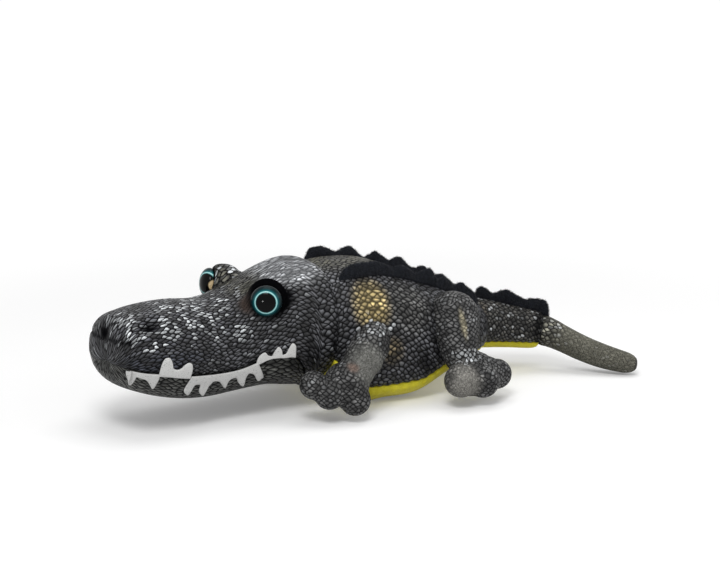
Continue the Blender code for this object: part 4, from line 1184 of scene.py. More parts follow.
@dataclass
class Head:
    """Head cover with brows and nostrils, lower jaw, eyes and felt teeth.

    Attributes:
        cloth: Material of each finish.
        seam_gap: How far each skin's edge stays off the mouth seam.
        brow_softness: How far a brow's ball is rounded into the head.
        seat_clearance: How far the cloth lies under the eye's flat back.
        seat_rim: Where the cloth starts and ends to sink under the eye, from its axis.
        lid: Height, distance from the eye's axis and width of the roll round an eye.
        nostril_rim: Height of the rim round a nostril.
        fold_depth: Depth of the fold across the nose.
        dark_zone: Mean reach and unevenness of the black print round the left and right eye.
        dark_edge: How soft that print's edge is.
        blend_from: Where the cover starts to follow the head, on the neck; not used.
        blend_to: Where it follows the head alone; not used.
        loft: The plain form.
    """

    cloth: dict
    seam_gap: float = 0.0003
    brow_softness: float = 0.0035
    seat_clearance: float = 0.0004
    seat_rim: tuple = (-0.0118, -0.0098)
    lid: tuple = (0.0011, 0.0122, 0.0019)
    nostril_rim: float = 0.0010
    fold_depth: float = 0.0011
    dark_zone: tuple = ((0.0160, 0.0042), (0.0125, 0.0015))
    dark_edge: float = 0.0056
    blend_from: tuple = (-0.037, 0.0, 0.05)
    blend_to: tuple = (-0.054, 0.0, 0.05)
    loft: Loft = field(init=False)

    def __post_init__(self) -> None:
        """Work out the plain form."""
        self.loft = head_loft()

    def swell(self, rings: np.ndarray, centres: np.ndarray) -> np.ndarray:
        """Raise the brows as balls that grow out of the head, press in eye seats and nostrils.

        Args:
            rings: Rings of the plain skin, (n, m, 3).
            centres: Their middles, (n, 3).

        Returns:
            The raised rings, (n, m, 3).
        """
        out = rings - centres[:, None]
        reach = np.linalg.norm(out, axis=2)
        way = unit(out)
        for side in (1.0, -1.0):
            to_brow = brow_centre(side) - centres[:, None]
            ahead = (way * to_brow).sum(axis=2)
            square = ahead**2 - (to_brow**2).sum(axis=2) + BROW_RADIUS**2
            ball = np.where((square > 0) & (ahead > 0), ahead + np.sqrt(np.maximum(square, 0)), 0.0)
            reach = soft_max(reach, ball, self.brow_softness)
        found = centres[:, None] + way * reach[..., None]
        for side in (1.0, -1.0):
            axis = eye_axis(side)
            moved = found - brow_centre(side)
            height = (moved * axis).sum(axis=2)
            off = np.linalg.norm(moved - height[..., None] * axis, axis=2)
            seat = BROW_RADIUS - EYE_SINK - self.seat_clearance
            inside = rise_between(-off, *self.seat_rim) * (height > 0)
            sink = np.maximum(height - seat, 0.0) * inside
            tall, place, width = self.lid
            lid = tall * np.exp(-(((off - place) / width) ** 2)) * (height > 0)
            found = found + axis * (lid * (1.0 - inside) - sink)[..., None]
        for nostril in NOSTRILS:
            away = nostril.away(found)
            dent = nostril.depth * np.exp(-((away / nostril.radius) ** 2))
            beyond = (away - 1.7 * nostril.radius) / (0.7 * nostril.radius)
            rim = self.nostril_rim * np.exp(-(beyond**2))
            found = found + way * (rim - dent)[..., None]
        fold = np.exp(-(((found[..., 2] - NOSE_FOLD) / 0.0014) ** 2))
        fold = self.fold_depth * fold * rise_between(found[..., 0], 0.122, 0.134)
        return found - way * fold[..., None]

    def slack(self, plain: np.ndarray, swollen: np.ndarray) -> np.ndarray:
        """Cloth that the right brow takes up: arc from the crown over it, less the plain arc.

        Args:
            plain: Rings before the brows, (n, m, 3).
            swollen: Rings with them.

        Returns:
            Extra cloth at each point, (n, m).
        """
        middle = plain.shape[1] // 2
        extra = np.zeros(plain.shape[:2])
        for sign, arc in ((-1.0, plain), (1.0, swollen)):
            run = running_length(arc)
            extra = extra + sign * (run - run[:, middle:middle + 1])
        away = np.linalg.norm(plain - brow_centre(-1.0), axis=2)
        return extra * (1.0 - rise_between(away, 0.020, 0.080)) * (plain[..., 1] < 0.0)

    def skin(self, half: Half, name: str, inset: float) -> bpy.types.Object:
        """One of the head's two skins, in the frame.

        Args:
            half: Above or below the mouth seam.
            name: Object name.
            inset: How far the skin lies inside the form.

        Returns:
            The object.
        """
        form = SeamedSkin(self.loft, half, mouth_height, self.seam_gap, inset=inset, gather=0.5,
                          stretch=0.4, crown=0.5, crown_place=0.050)
        rings, cloth, centres = form.rows(STEP)
        if half is Half.UPPER:
            count = rings.shape[1] - form.floor_points
            swollen = self.swell(rings[:, :count], centres)
            cloth[:, :count, 1] += self.slack(rings[:, :count], swollen)
            rings[:, :count] = swollen
        return skin_object(name, head_place(rings), cloth)

    def make(self) -> None:
        """Build the head's pieces."""
        cover = self.skin(Half.UPPER, "head_cover", 0.0)
        # Black print round the eyes, with painted shade in the nostrils and in the nose's fold.
        shade = self.shade(head_local(vertex_points(cover)))
        Print(BASE_PRINT, 0.16, 0.0, HEAD_PATCHES).lay(cover, shade)
        finish_piece(cover, self.cloth["head"], ("head",))
        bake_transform(cover)
        jaw = self.skin(Half.LOWER, "jaw_cover", JAW_INSET)
        Print(JAW_PRINT, 0.05).lay(jaw)
        finish_piece(jaw, self.cloth["jaw"], ("lower_jaw",))
        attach(jaw, "head")
        for side, word in ((1.0, "left"), (-1.0, "right")):
            self.eye(side, word)
            self.teeth(side, word)

    def shade(self, local: np.ndarray) -> np.ndarray:
        """How black the skin is: black print round the eyes, painted shade in the nostrils and
        along the fold across the nose.

        Args:
            local: Points of the head's space, (n, 3).

        Returns:
            One number for each point, 1 where black.
        """
        found = np.zeros(len(local))
        for side in (1.0, -1.0):
            moved = local - brow_centre(side)
            height = moved @ eye_axis(side)
            off = np.linalg.norm(moved - height[:, None] * eye_axis(side), axis=1)
            turn = (moved @ upper_rear(side)) / np.maximum(off, 1e-6)
            off = off * (1.0 + 0.08 * ripple(local, 0.006) + 0.08 * ripple(local, 0.0022, 3.0))
            mean, uneven = self.dark_zone[0 if side > 0 else 1]
            wide = mean + uneven * turn
            front = rise_between(height, -0.0100, -0.0040) if side > 0 else height > 0
            found = np.maximum(found, rise_between(-off, -wide, -wide + self.dark_edge) * front)
        # Painted shade in each nostril's dimple.
        for nostril in NOSTRILS:
            away = nostril.away(local)
            found = np.maximum(found, 0.96 * rise_between(-away, -1.15 * nostril.radius,
                                                          -0.45 * nostril.radius))
        # Painted shade along the fold across the nose.
        fold = np.exp(-(((local[:, 2] - NOSE_FOLD) / 0.0011) ** 2))
        found = np.maximum(found, 0.8 * fold * rise_between(local[:, 0], 0.128, 0.134))
        return found

    def eye(self, side: float, word: str) -> None:
        """A polished dome on its seat: a round profile turned about the eye's axis.

        Args:
            side: 1 on the head's left, -1 on its right.
            word: left or right.
        """
        rise = np.linspace(0.0, pi / 2.0, 20)
        radius = EYE_RADIUS * np.sin(rise)
        height = EYE_WALL + 0.0004 + EYE_DOME * np.cos(rise)
        radius = np.concatenate((radius, [EYE_RADIUS, EYE_RADIUS - 0.0006, 0.0]))
        height = np.concatenate((height, [0.0010, 0.0004, 0.0004]))
        turns = np.linspace(0.0, 2.0 * pi, 65)[:-1]
        axis = eye_axis(side)
        level = unit(np.cross((0.0, 0.0, 1.0), axis))
        upright = np.cross(axis, level)
        seat = brow_centre(side) + axis * (BROW_RADIUS - EYE_SINK)
        around = np.cos(turns)[:, None] * level + np.sin(turns)[:, None] * upright
        rings = seat + radius[:, None, None] * around + height[:, None, None] * axis
        look = axis if side > 0 else unit(axis + FAR_LOOK)
        right = unit(np.cross((0.0, 0.0, 1.0), look))
        seen = np.concatenate((rings, rings[:, :1]), axis=1) - seat - 0.0030 * look
        disc = np.stack((seen @ right, seen @ np.cross(look, right)), axis=-1)
        dome = skin_object("eye_dome_" + word, head_place(rings), disc)
        dome.data.materials.append(self.cloth["eye_" + word])
        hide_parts("eye_" + word, "iris_" + word)
        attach(dome, "head")
        LOG.info("eye %s", word)

    def cheek(self, along: np.ndarray, height: np.ndarray, side: float) -> np.ndarray:
        """How far out the head's plain form lies at places along it, in its own space.

        Args:
            along: Places ahead of the neck.
            height: Heights there.
            side: 1 on the head's left, -1 on its right.

        Returns:
            Distances from the middle plane, along Y.
        """
        place = along
        for _ in range(3):
            centre, sides, _, size = self.loft.read(self.station_knots(place))
            up = height - centre[..., 2]
            tall = np.where(up > 0, size[..., 1], size[..., 2])
            share = np.clip(np.abs(up) / np.maximum(tall, 1e-9), 0.0, 1.0)
            wide = size[..., 0] * np.maximum(1.0 - share**2.3, 0.0) ** (1.0 / 2.3)
            place = np.minimum(along - sides[..., 0] * side * wide, 0.979 * HEAD_LENGTH)
        return centre[..., 1] + side * np.abs(sides[..., 1]) * wide

    def station_knots(self, along: np.ndarray) -> np.ndarray:
        """Places along the skin for distances ahead of the neck."""
        rows = self.loft.centres[2:, 0]
        return np.interp(along, rows, self.loft.knots[2:])

    def teeth(self, side: float, word: str) -> None:
        """The four felt strips of one side."""
        for kind, rows, way in TOOTH_STRIPS:
            strip = ToothStrip("teeth_" + kind + "_" + word, rows, way)
            strip.make(self, side)


@dataclass(frozen=True)
class ToothStrip:
    """A cut felt strip sewn into the mouth seam, its points laid on the cheek.

    Attributes:
        name: Name of the solid that it stands for.
        rows: Hem stretch and edge points of place along and length.
        way: -1 where the points hang down, 1 where they stand up.
        thickness: Thickness of the felt.
        length: Length of a point whose length number is 1.
    """

    name: str
    rows: tuple
    way: float
    thickness: float = 0.0013
    length: float = 0.0100

    def outline(self, count: int) -> tuple:
        """Smoothed edge: place along and length at even steps, with points kept rounded.

        Args:
            count: How many steps.

        Returns:
            Place along, length and share of the hem at each step.
        """
        edge = np.array(self.rows[1])
        run = np.concatenate(([0.0], np.cumsum(np.hypot(np.diff(edge[:, 0]) * 3.0,
                                                        np.diff(edge[:, 1])))))
        even = np.linspace(0.0, run[-1], count)
        found = hermite(even, run, edge)
        hem = np.linspace(0.0, 1.0, count)
        return found[:, 0], np.maximum(found[:, 1], 0.06), hem

    def make(self, head: Head, side: float) -> None:
        """f(u, v): u follows the strip's edge, v runs from the hem to the edge on the outer face
        and back on the inner one; the face domes a little and its rim is rounded.

        Args:
            head: The head that it is sewn into.
            side: 1 on the head's left, -1 on its right.
        """
        rear, front = self.rows[0]
        place, length, even = self.outline(96)
        rows = np.array(MOUTH_ROWS)
        down = np.linspace(0.0, 1.0, 12)[None, :]
        tip_station = rear + (front - rear) * place
        inside = np.clip(place, 0.0, 1.0)
        hem_station = rear + (front - rear) * (inside + even) / 2.0
        station = hem_station[:, None] + (tip_station - hem_station)[:, None] * down
        hem_z = hermite(hem_station, rows[:, 0], rows[:, 1]) * HEAD_HEIGHT
        tip_z = hermite(tip_station, rows[:, 0], rows[:, 1]) * HEAD_HEIGHT
        tip_z = tip_z + self.way * self.length * length
        start_z = hem_z - self.way * 0.0006
        height = start_z[:, None] + (tip_z - start_z)[:, None] * down
        along = station * HEAD_LENGTH
        cheek = head.cheek(along, height, side) * side
        hem_reach = head.cheek(hem_station * HEAD_LENGTH, hem_z, side) * side
        hang = hem_reach[:, None] - np.abs(height - hem_z[:, None]) * 0.35
        out = np.maximum(cheek, hang) + 0.0004
        rim = np.sqrt(np.clip(1.0 - np.maximum(down - 0.72, 0.0) ** 2 / 0.28**2, 0.0, 1.0))
        rim = np.broadcast_to(rim, out.shape).copy()
        ends = np.clip(np.minimum(even, 1.0 - even) / 0.03, 0.0, 1.0)[:, None] ** 0.5
        thick = self.thickness * (0.25 + 0.75 * rim) * (0.3 + 0.7 * ends)
        middle = out + self.thickness / 2.0
        outer = np.stack((along, side * (middle + thick / 2.0), height), axis=-1)
        inner = np.stack((along, side * (middle - thick / 2.0), height), axis=-1)[:, ::-1]
        rings = np.concatenate((outer, inner), axis=1)
        cloth = np.zeros((*rings.shape[:2], 2))
        cloth[..., 0], cloth[..., 1] = rings[..., 0], rings[..., 2]
        cloth = np.concatenate((cloth, cloth[:, :1]), axis=1)
        rings = with_poles(rings, rings.mean(axis=1, keepdims=True))
        cloth = np.concatenate((cloth[:1], cloth, cloth[-1:]), axis=0)
        strip = skin_object(self.name + "_felt", head_place(rings), cloth)
        strip.data.materials.append(head.cloth["felt"])
        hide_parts(self.name)
        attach(strip, "head")
        LOG.info("%s", self.name)


NOSTRILS = (
    Nostril((0.1212, 0.0245, 0.0152), 0.0040, 0.0034, 1.9),
    Nostril((0.1400, 0.0048, 0.0115), 0.0044, 0.0028, 1.1),
)
NOSTRIL_SLANT = (-0.95, 0.0, 0.31)
NOSE_FOLD = 0.0080
FAR_LOOK = np.array((1.032, 1.652, 0.450))

TOOTH_STRIPS = (
    ("upper_front", (
        (0.840, 0.960),
        ((-0.02, 0.12), (0.03, 0.48), (0.15, 0.89), (0.28, 0.58), (0.37, 0.39), (0.53, 0.29),
         (0.69, 0.28), (0.72, 0.58), (0.80, 0.85), (0.90, 0.69), (0.97, 0.33), (1.00, 0.10)),
    ), -1.0),
    ("upper_rear", (
        (0.384, 0.695),
        ((-0.12, 1.20), (-0.09, 1.30), (0.06, 0.54), (0.11, 0.41), (0.14, 0.63), (0.16, 1.18),
         (0.25, 0.76), (0.30, 0.40), (0.37, 0.41), (0.40, 0.53), (0.44, 0.97), (0.50, 0.67),
         (0.55, 0.44), (0.64, 0.38), (0.70, 0.65), (0.78, 1.28), (0.84, 1.01), (0.86, 0.50),
         (0.90, 0.49), (1.02, 1.16), (1.07, 0.98), (1.04, 0.39), (1.01, 0.10)),
    ), -1.0),
    ("lower_front", (
        (0.701, 0.840),
        ((-0.06, 0.43), (-0.05, 0.82), (0.01, 0.90), (0.07, 0.90), (0.19, 0.76), (0.33, 0.52),
         (0.49, 0.45), (0.58, 0.53), (0.60, 0.87), (0.65, 1.06), (0.80, 1.05), (0.91, 0.72),
         (1.00, 0.08)),
    ), 1.0),
    ("lower_rear", (
        (0.226, 0.390),
        ((0.00, 0.68), (0.07, 0.81), (0.20, 0.44), (0.26, 0.20), (0.36, 0.16), (0.38, 0.46),
         (0.45, 0.63), (0.54, 0.40), (0.61, 0.12), (0.71, 0.22), (0.79, 0.49), (0.93, 0.45),
         (1.00, 0.18)),
    ), 1.0),
)

# Patches with a high glint paint highlights on the foil cells: along the top and sides of the
# snout, on the cheek and on the far brow.
HEAD_PATCHES = (
    Patch((-0.118, -0.020, 0.072), (0.034, 0.024, 0.016), colour=(0.034, 0.035, 0.040),
          glint=0.85),
    Patch((-0.150, -0.036, 0.062), (0.026, 0.016, 0.012), colour=(0.028, 0.029, 0.034),
          glint=0.97),
    Patch((-0.165, -0.020, 0.066), (0.012, 0.016, 0.008), glint=0.95),
    Patch((-0.150, -0.040, 0.046), (0.034, 0.018, 0.007), colour=(0.022, 0.024, 0.031),
          glint=0.1),
    Patch((-0.100, -0.040, 0.058), (0.020, 0.014, 0.008), glint=0.75),
    Patch((-0.085, -0.012, 0.082), (0.020, 0.016, 0.012), colour=OLIVE_PRINT, strength=0.8),
    # Painted sheen: the pale, smoother print on the crown stands in for the sheen of the top light.
    Patch((-0.058, -0.016, 0.088), (0.024, 0.026, 0.011), colour=(0.35, 0.36, 0.375), fine=0.38),
    Patch((-0.0790, -0.0150, 0.0800), (0.012, 0.006, 0.010), fine=0.75, glint=0.1, both=False),
    Patch((-0.0770, 0.0190, 0.0790), (0.014, 0.010, 0.012), glint=0.75, both=False),
    Patch((-0.0890, -0.0270, 0.0720), (0.007, 0.008, 0.009), colour=(0.060, 0.042, 0.034),
          fine=0.9, glint=0.0),
)


def finish_piece(item: bpy.types.Object, material: bpy.types.Material, nodes: tuple) -> None:
    """Give a stuffed piece its material, hide the solids that it replaces and log its faces.

    Args:
        item: The piece.
        material: Its material.
        nodes: Solids that it stands for.
    """
    item.data.materials.append(material)
    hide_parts(*nodes)
    LOG.info("%s: %d faces", item.name, len(item.data.polygons))


# Torso


def belly_height(centre: np.ndarray) -> np.ndarray:
    """Height of the belly seam at points of the torso's middle line.

    Args:
        centre: Points, (n, 3).

    Returns:
        Heights, (n,).
    """
    rows = np.array(TORSO_ROWS)
    rise = BELLY_RISE * (1.0 - 0.8 * rise_between(rows[:, 0], 0.70, 0.92))
    low = (rows[:, 2] - rows[:, 4]) * TORSO_HEIGHT + rise
    low = np.where(rows[:, 0] < 0.04, np.maximum(low, 0.0275), low)
    x = TORSO_FRONT_X + rows[:, 0] * TORSO_LENGTH
    order = np.argsort(x)
    return np.interp(centre[:, 0], x[order][2:-2], low[order][2:-2])


@dataclass
class Torso:
    """Torso cover, belly panel, neck and back crests.

    Attributes:
        cloth: Material of each finish.
        seam_gap: How far each skin's edge stays off the belly seam.
        cover_lip: How far the cover's edge is drawn in at the seam.
        belly_lip: The same for the belly panel.
        neck_radius: Radius of the neck's ball.
        neck_gathers: Depth, as a share of that radius, and number of its gathers.
        crest_shares: Where the crests start and end along the torso.
        crest_spread: How far off the middle they stand there, as shares of the width.
        crest_lean: How far a crest leans outwards.
        left_flare: How much wider the left crest's foot spreads.
        blend_from: Where the covers start to follow the neck; not used.
        blend_to: Where they follow the neck alone; not used.
        loft: The plain form.
    """

    cloth: dict
    seam_gap: float = 0.0003
    cover_lip: float = 0.0012
    belly_lip: float = 0.0014
    neck_radius: float = 0.0306
    neck_gathers: tuple = (0.012, 14.0)
    crest_shares: tuple = (0.060, 0.92)
    crest_spread: tuple = (0.234, 0.085)
    crest_lean: float = radians(14)
    left_flare: float = 0.0030
    blend_from: tuple = (-0.022, 0.0, 0.05)
    blend_to: tuple = (-0.0355, 0.0, 0.05)
    loft: Loft = field(init=False)

    def __post_init__(self) -> None:
        """Work out the plain form."""
        self.loft = torso_loft()

    def top(self, x: np.ndarray, y: np.ndarray) -> np.ndarray:
        """Height of the torso's back at places across it.

        Args:
            x: Places along.
            y: Places across.

        Returns:
            Heights.
        """
        knots = np.interp(x, self.loft.centres[2:, 0], self.loft.knots[2:])
        centre, _, _, size = self.loft.read(knots)
        share = np.clip(np.abs(y) / np.maximum(size[..., 0], 1e-9), 0.0, 1.0)
        return centre[..., 2] + size[..., 1] * np.maximum(1.0 - share**2.3, 0.0) ** (1.0 / 2.3)

    def make(self) -> None:
        """Build the torso's pieces."""
        form = SeamedSkin(self.loft, Half.UPPER, belly_height, self.seam_gap,
                          lip_depth=self.cover_lip)
        rings, cloth, _ = form.rows(STEP)
        cover = skin_object("torso_cover", rings, cloth)
        Print(BASE_PRINT, 0.07, 0.0, TORSO_PATCHES).lay(cover)
        finish_piece(cover, self.cloth["torso"], ("torso",))
        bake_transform(cover)
        form = SeamedSkin(self.loft, Half.LOWER, belly_height, self.seam_gap,
                          lip_depth=self.belly_lip)
        rings, cloth, _ = form.rows(STEP)
        rings[..., 2] = np.maximum(rings[..., 2], 0.0)
        belly = skin_object("belly_cover", rings, cloth)
        finish_piece(belly, self.cloth["belly"], ("belly_panel",))
        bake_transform(belly)
        self.neck()
        for side, word in ((-1.0, "left"), (1.0, "right")):
            self.crest(side, word)

    def neck(self) -> None:
        """The neck's stuffing cover inside the fold: f(u, v) is a ball with shallow gathers."""
        lines = np.linspace(0.0, pi, 40)[:, None]
        turns = np.linspace(0.0, 2.0 * pi, 81)
        around = turns[None, :-1]
        depth, gathers = self.neck_gathers
        radius = self.neck_radius * (
            1.0 - depth * np.sin(lines) * (1.0 + np.cos(gathers * around)))
        rings = NECK + np.stack((
            radius * np.cos(lines) + 0.0 * around,
            radius * np.sin(lines) * np.cos(around),
            radius * np.sin(lines) * np.sin(around),
        ), axis=-1)
        cloth = np.stack(np.broadcast_arrays(lines * 0.033, turns[None, :] * 0.033), axis=-1)
        ball = skin_object("neck_cover", rings, cloth)
        Print(BASE_PRINT, 0.1).lay(ball)
        finish_piece(ball, self.cloth["torso"], ("neck",))
        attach(ball, "neck")

    def crest(self, side: float, word: str) -> None:
        """One scalloped crest on the back.

        Args:
            side: -1 on the left, 1 on the right.
            word: left or right.
        """
        share = np.linspace(0.0, 1.0, 161)
        first, last = self.crest_shares
        station = first + (last - first) * share
        x = TORSO_FRONT_X + TORSO_LENGTH * station
        front, rear = self.crest_spread
        spread = front + (rear - front) * share**1.5
        y = side * spread * TORSO_WIDTH - (0.0042 if side < 0 else 0.002)
        foot = np.stack((x, y, self.top(x, y)), axis=-1)
        strip = CrestStrip("crest_" + word, foot, BACK_SCALLOPS[word], self.crest_lean * side,
                           flare=self.left_flare if side < 0 else 0.0)
        strip.make(self.cloth["crest"], "torso")


@dataclass(frozen=True)
class CrestStrip:
    """A doubled strip of dark plush with a scalloped top edge.

    Attributes:
        name: Name of the solid that it stands for.
        foot: Points along the seam that it stands on, (n, 3).
        heights: Place and height of the top edge's turns.
        lean: How far it leans to the right.
        thickness: Thickness at the foot.
        flare: How much wider the foot spreads.
        around: Points round a section.
        sink: How far the foot reaches into what it stands on.
        fibres: How many fibres stand off it.
        fibre_length: Their least and greatest length.
        fibre_width: Half the width of a fibre's root.
    """

    name: str
    foot: np.ndarray
    heights: tuple
    lean: float
    thickness: float = 0.0052
    flare: float = 0.0
    around: int = 26
    sink: float = 0.0016
    fibres: int = 9000
    fibre_length: tuple = (0.0007, 0.0017)
    fibre_width: float = 0.00011

    def make(self, material: bpy.types.Material, body: str) -> None:
        """f(u, v): u runs along the foot and v round a section that is broad at the foot and
        rounded at the top; the surface is uneven by a fraction of a millimetre, as pile is.

        Args:
            material: Its material.
            body: Body that carries it.
        """
        count = len(self.foot)
        share = np.linspace(0.0, 1.0, count)
        turns = np.array(self.heights)
        top = hermite(share, turns[:, 0], turns[:, 1])
        ends = np.clip(np.minimum(share, 1.0 - share) / 0.03, 0.0, 1.0) ** 0.5
        top = top * (0.35 + 0.65 * ends)
        up = np.array((0.0, sin(self.lean), cos(self.lean)))
        along = unit(np.gradient(self.foot, axis=0))
        across = unit(np.cross(up, along))
        angle = np.linspace(0.0, 2.0 * pi, self.around + 1)[:-1]
        middle = (top[:, None] - self.sink) / 2.0
        level = middle + (top[:, None] + self.sink) / 2.0 * np.sin(angle)
        high = np.clip(level / np.maximum(top[:, None], 1e-6), 0.0, 1.0)
        flare = self.flare * np.clip(share / 0.10, 0.0, 1.0)[:, None]
        thick = self.thickness * (1.0 - 0.45 * high) + flare * (1.0 - high) ** 2
        thick = thick * (0.35 + 0.65 * ends[:, None])
        half = thick / 2.0 * np.sign(np.cos(angle)) * np.abs(np.cos(angle)) ** 0.75
        rings = (self.foot[:, None] + up * level[..., None] + across[:, None] * half[..., None])
        push = 0.00035 * ripple(rings, 0.0031, 2.0) + 0.00022 * ripple(rings, 0.0013, 5.0)
        middle = rings.mean(axis=1, keepdims=True)
        rings = rings + unit(rings - middle) * push[..., None]
        rings = with_poles(rings, middle)
        cloth = np.zeros((len(rings), self.around + 1, 2))
        strip = skin_object(self.name + "_plush", rings, cloth)
        finish_piece(strip, material, (self.name,))
        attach(strip, body)
        self.pile(strip, material, body)

    def pile(self, strip: bpy.types.Object, material: bpy.types.Material, body: str) -> None:
        """Short fibres that stand off the strip, each a thin three-sided blade.

        Args:
            strip: The strip.
            material: Its material.
            body: Body that carries it.
        """
        source = np.random.default_rng(7)
        mesh = strip.data
        mesh.calc_loop_triangles()
        triangles = np.empty(len(mesh.loop_triangles) * 3, dtype=np.int32)
        mesh.loop_triangles.foreach_get("vertices", triangles)
        corners = vertex_points(strip)[triangles.reshape(-1, 3)]
        normal = np.cross(corners[:, 1] - corners[:, 0], corners[:, 2] - corners[:, 0])
        area = np.linalg.norm(normal, axis=1)
        pick = source.choice(len(corners), self.fibres, p=area / area.sum())
        weight = source.dirichlet((1.0, 1.0, 1.0), len(pick))
        root = (corners[pick] * weight[..., None]).sum(axis=1)
        way = unit(unit(normal[pick]) + 0.55 * source.normal(size=(len(pick), 3)))
        length = source.uniform(*self.fibre_length, len(pick))[:, None]
        turn = unit(np.cross(way, source.normal(size=(len(pick), 3))))
        turn = turn * self.fibre_width
        points = np.stack((root - turn, root + turn, root + way * length), axis=1)
        faces = np.arange(len(pick) * 3).reshape(-1, 3)
        hair = bpy.data.meshes.new(self.name + "_pile")
        hair.from_pydata(points.reshape(-1, 3).tolist(), [], faces.tolist())
        item = make_object(self.name + "_pile", hair)
        item.data.materials.append(material)
        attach(item, body)


BACK_SCALLOPS = {
    "right": (
        (0.00, 0.0022), (0.04, 0.0062), (0.08, 0.0067), (0.115, 0.0067), (0.15, 0.0052),
        (0.195, 0.0028), (0.245, 0.0049), (0.30, 0.0063), (0.335, 0.0038), (0.375, 0.0012),
        (0.41, 0.0040), (0.455, 0.0078), (0.49, 0.0064), (0.54, 0.0046), (0.58, 0.0074),
        (0.62, 0.0088), (0.66, 0.0052), (0.70, 0.0046), (0.76, 0.0080), (0.82, 0.0048),
        (0.88, 0.0074), (0.94, 0.0046), (1.00, 0.0036),
    ),
    "left": (
        (0.00, 0.0008), (0.02, 0.0040), (0.06, 0.0068), (0.125, 0.0078), (0.18, 0.0074),
        (0.235, 0.0075), (0.30, 0.0062), (0.36, 0.0051), (0.42, 0.0076), (0.475, 0.0064),
        (0.53, 0.0048), (0.58, 0.0082), (0.63, 0.0102), (0.66, 0.0072), (0.685, 0.0052),
        (0.735, 0.0074), (0.775, 0.0057), (0.815, 0.0044), (0.865, 0.0080), (0.92, 0.0067),
        (0.97, 0.0060), (1.00, 0.0052),
    ),
}
TAIL_SCALLOPS = (
    (0.00, 0.0030), (0.05, 0.0064), (0.17, 0.0071), (0.27, 0.0047), (0.40, 0.0073),
    (0.52, 0.0089), (0.60, 0.0076), (0.68, 0.0065), (0.78, 0.0055), (0.87, 0.0074),
    (0.95, 0.0086), (1.00, 0.0080),
)

TORSO_PATCHES = (
    Patch((-0.013, -0.038, 0.064), (0.013, 0.016, 0.016), colour=GOLD_PRINT, strength=0.85,
          fine=0.25),
    Patch((-0.002, -0.044, 0.036), (0.008, 0.010, 0.010), colour=(0.13, 0.10, 0.05),
          strength=0.7),
    # Painted highlights on the foil cells above the shoulder.
    Patch((-0.014, -0.048, 0.052), (0.020, 0.014, 0.009), glint=0.6),
    Patch((-0.010, 0.0, 0.088), (0.050, 0.022, 0.012), colour=OLIVE_PRINT),
    Patch((0.012, -0.040, 0.062), (0.016, 0.016, 0.022), colour=(0.064, 0.064, 0.062)),
    Patch((-0.037, -0.027, 0.0245), (0.006, 0.007, 0.0035), colour=(0.70, 0.60, 0.05), fine=0.95,
          glint=0.0),
)


# Legs


@dataclass(frozen=True)
class Leg:
    """One leg with its paw as a single stuffed skin.

    Attributes:
        name: front or hind.
        side: Left or right.
        balls: Middle and radius of the balls that the form is gathered round, on the left.
        wrist: Where the paw bends, on the left; not used.
        patches: Printed patches.
        voxel: Spacing of the gathered form's points.
        soften: How many times it is smoothed.
        floor_clearance: Lowest height of the skin.
        bend_reach: Reach of the bend on each side of the wrist; not used.
    """

    name: str
    side: Side
    balls: tuple
    wrist: tuple
    patches: tuple
    voxel: float = 0.0011
    soften: int = 5
    floor_clearance: float = 0.0009
    bend_reach: float = 0.005

    def make(self, cloth: dict) -> None:
        """Gather the balls into one form, smooth it and print it.

        Args:
            cloth: Material of each finish.
        """
        mirror = np.array((1.0, -self.side.side, 1.0))
        shape = bmesh.new()
        for place, radius in self.balls:
            found = bmesh.ops.create_uvsphere(shape, u_segments=32, v_segments=20, radius=radius)
            bmesh.ops.translate(shape, vec=Vector(np.array(place) * mirror), verts=found["verts"])
        mesh = bpy.data.meshes.new("gather")
        shape.to_mesh(mesh)
        shape.free()
        item = make_object(self.name + "_leg_cover_" + self.side.value, mesh)
        step = item.modifiers.new("gather", "REMESH")
        step.mode = "VOXEL"
        step.voxel_size = self.voxel
        bake(item)
        smooth = item.modifiers.new("soften", "SMOOTH")
        smooth.factor = 0.5
        smooth.iterations = self.soften
        bake(item)
        points = vertex_points(item)
        points[:, 2] = np.maximum(points[:, 2], self.floor_clearance)
        set_points(item, points)
        item.data.shade_smooth()
        self.wrap(item)
        Print(LEG_PRINT, 0.14, 0.12, self.patches).lay(item)
        nodes = (self.name + "_leg_" + self.side.value, self.name + "_paw_" + self.side.value)
        finish_piece(item, cloth["leg"], nodes)
        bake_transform(item)

    def wrap(self, item: bpy.types.Object) -> None:
        """Cloth coordinates, laid flat on each face from the side that it looks to most.

        Args:
            item: The skin.
        """
        mesh = item.data
        points = vertex_points(item)
        loops = np.empty(len(mesh.loops), dtype=np.int32)
        mesh.loops.foreach_get("vertex_index", loops)
        counts = np.empty(len(mesh.polygons), dtype=np.int32)
        mesh.polygons.foreach_get("loop_total", counts)
        normals = np.empty(len(mesh.polygons) * 3)
        mesh.polygons.foreach_get("normal", normals)
        corner = points[loops][np.cumsum(counts) - 1]
        normals = normals.reshape(-1, 3) + 0.12 * ripple(corner, 0.002)[:, None]
        weight = np.abs(normals) * (0.9, 1.1, 0.9)
        facing = np.repeat(np.argmax(weight, axis=1), counts)
        flat = points[loops]
        across = np.where(facing == 0, flat[:, 1] + 0.2, flat[:, 0])
        upward = np.where(facing == 2, flat[:, 1] + 0.4, flat[:, 2])
        layer = mesh.uv_layers.new(name="cloth")
        both = np.stack((across, upward), axis=-1)
        layer.data.foreach_set("uv", both.reshape(-1).astype(np.float32))


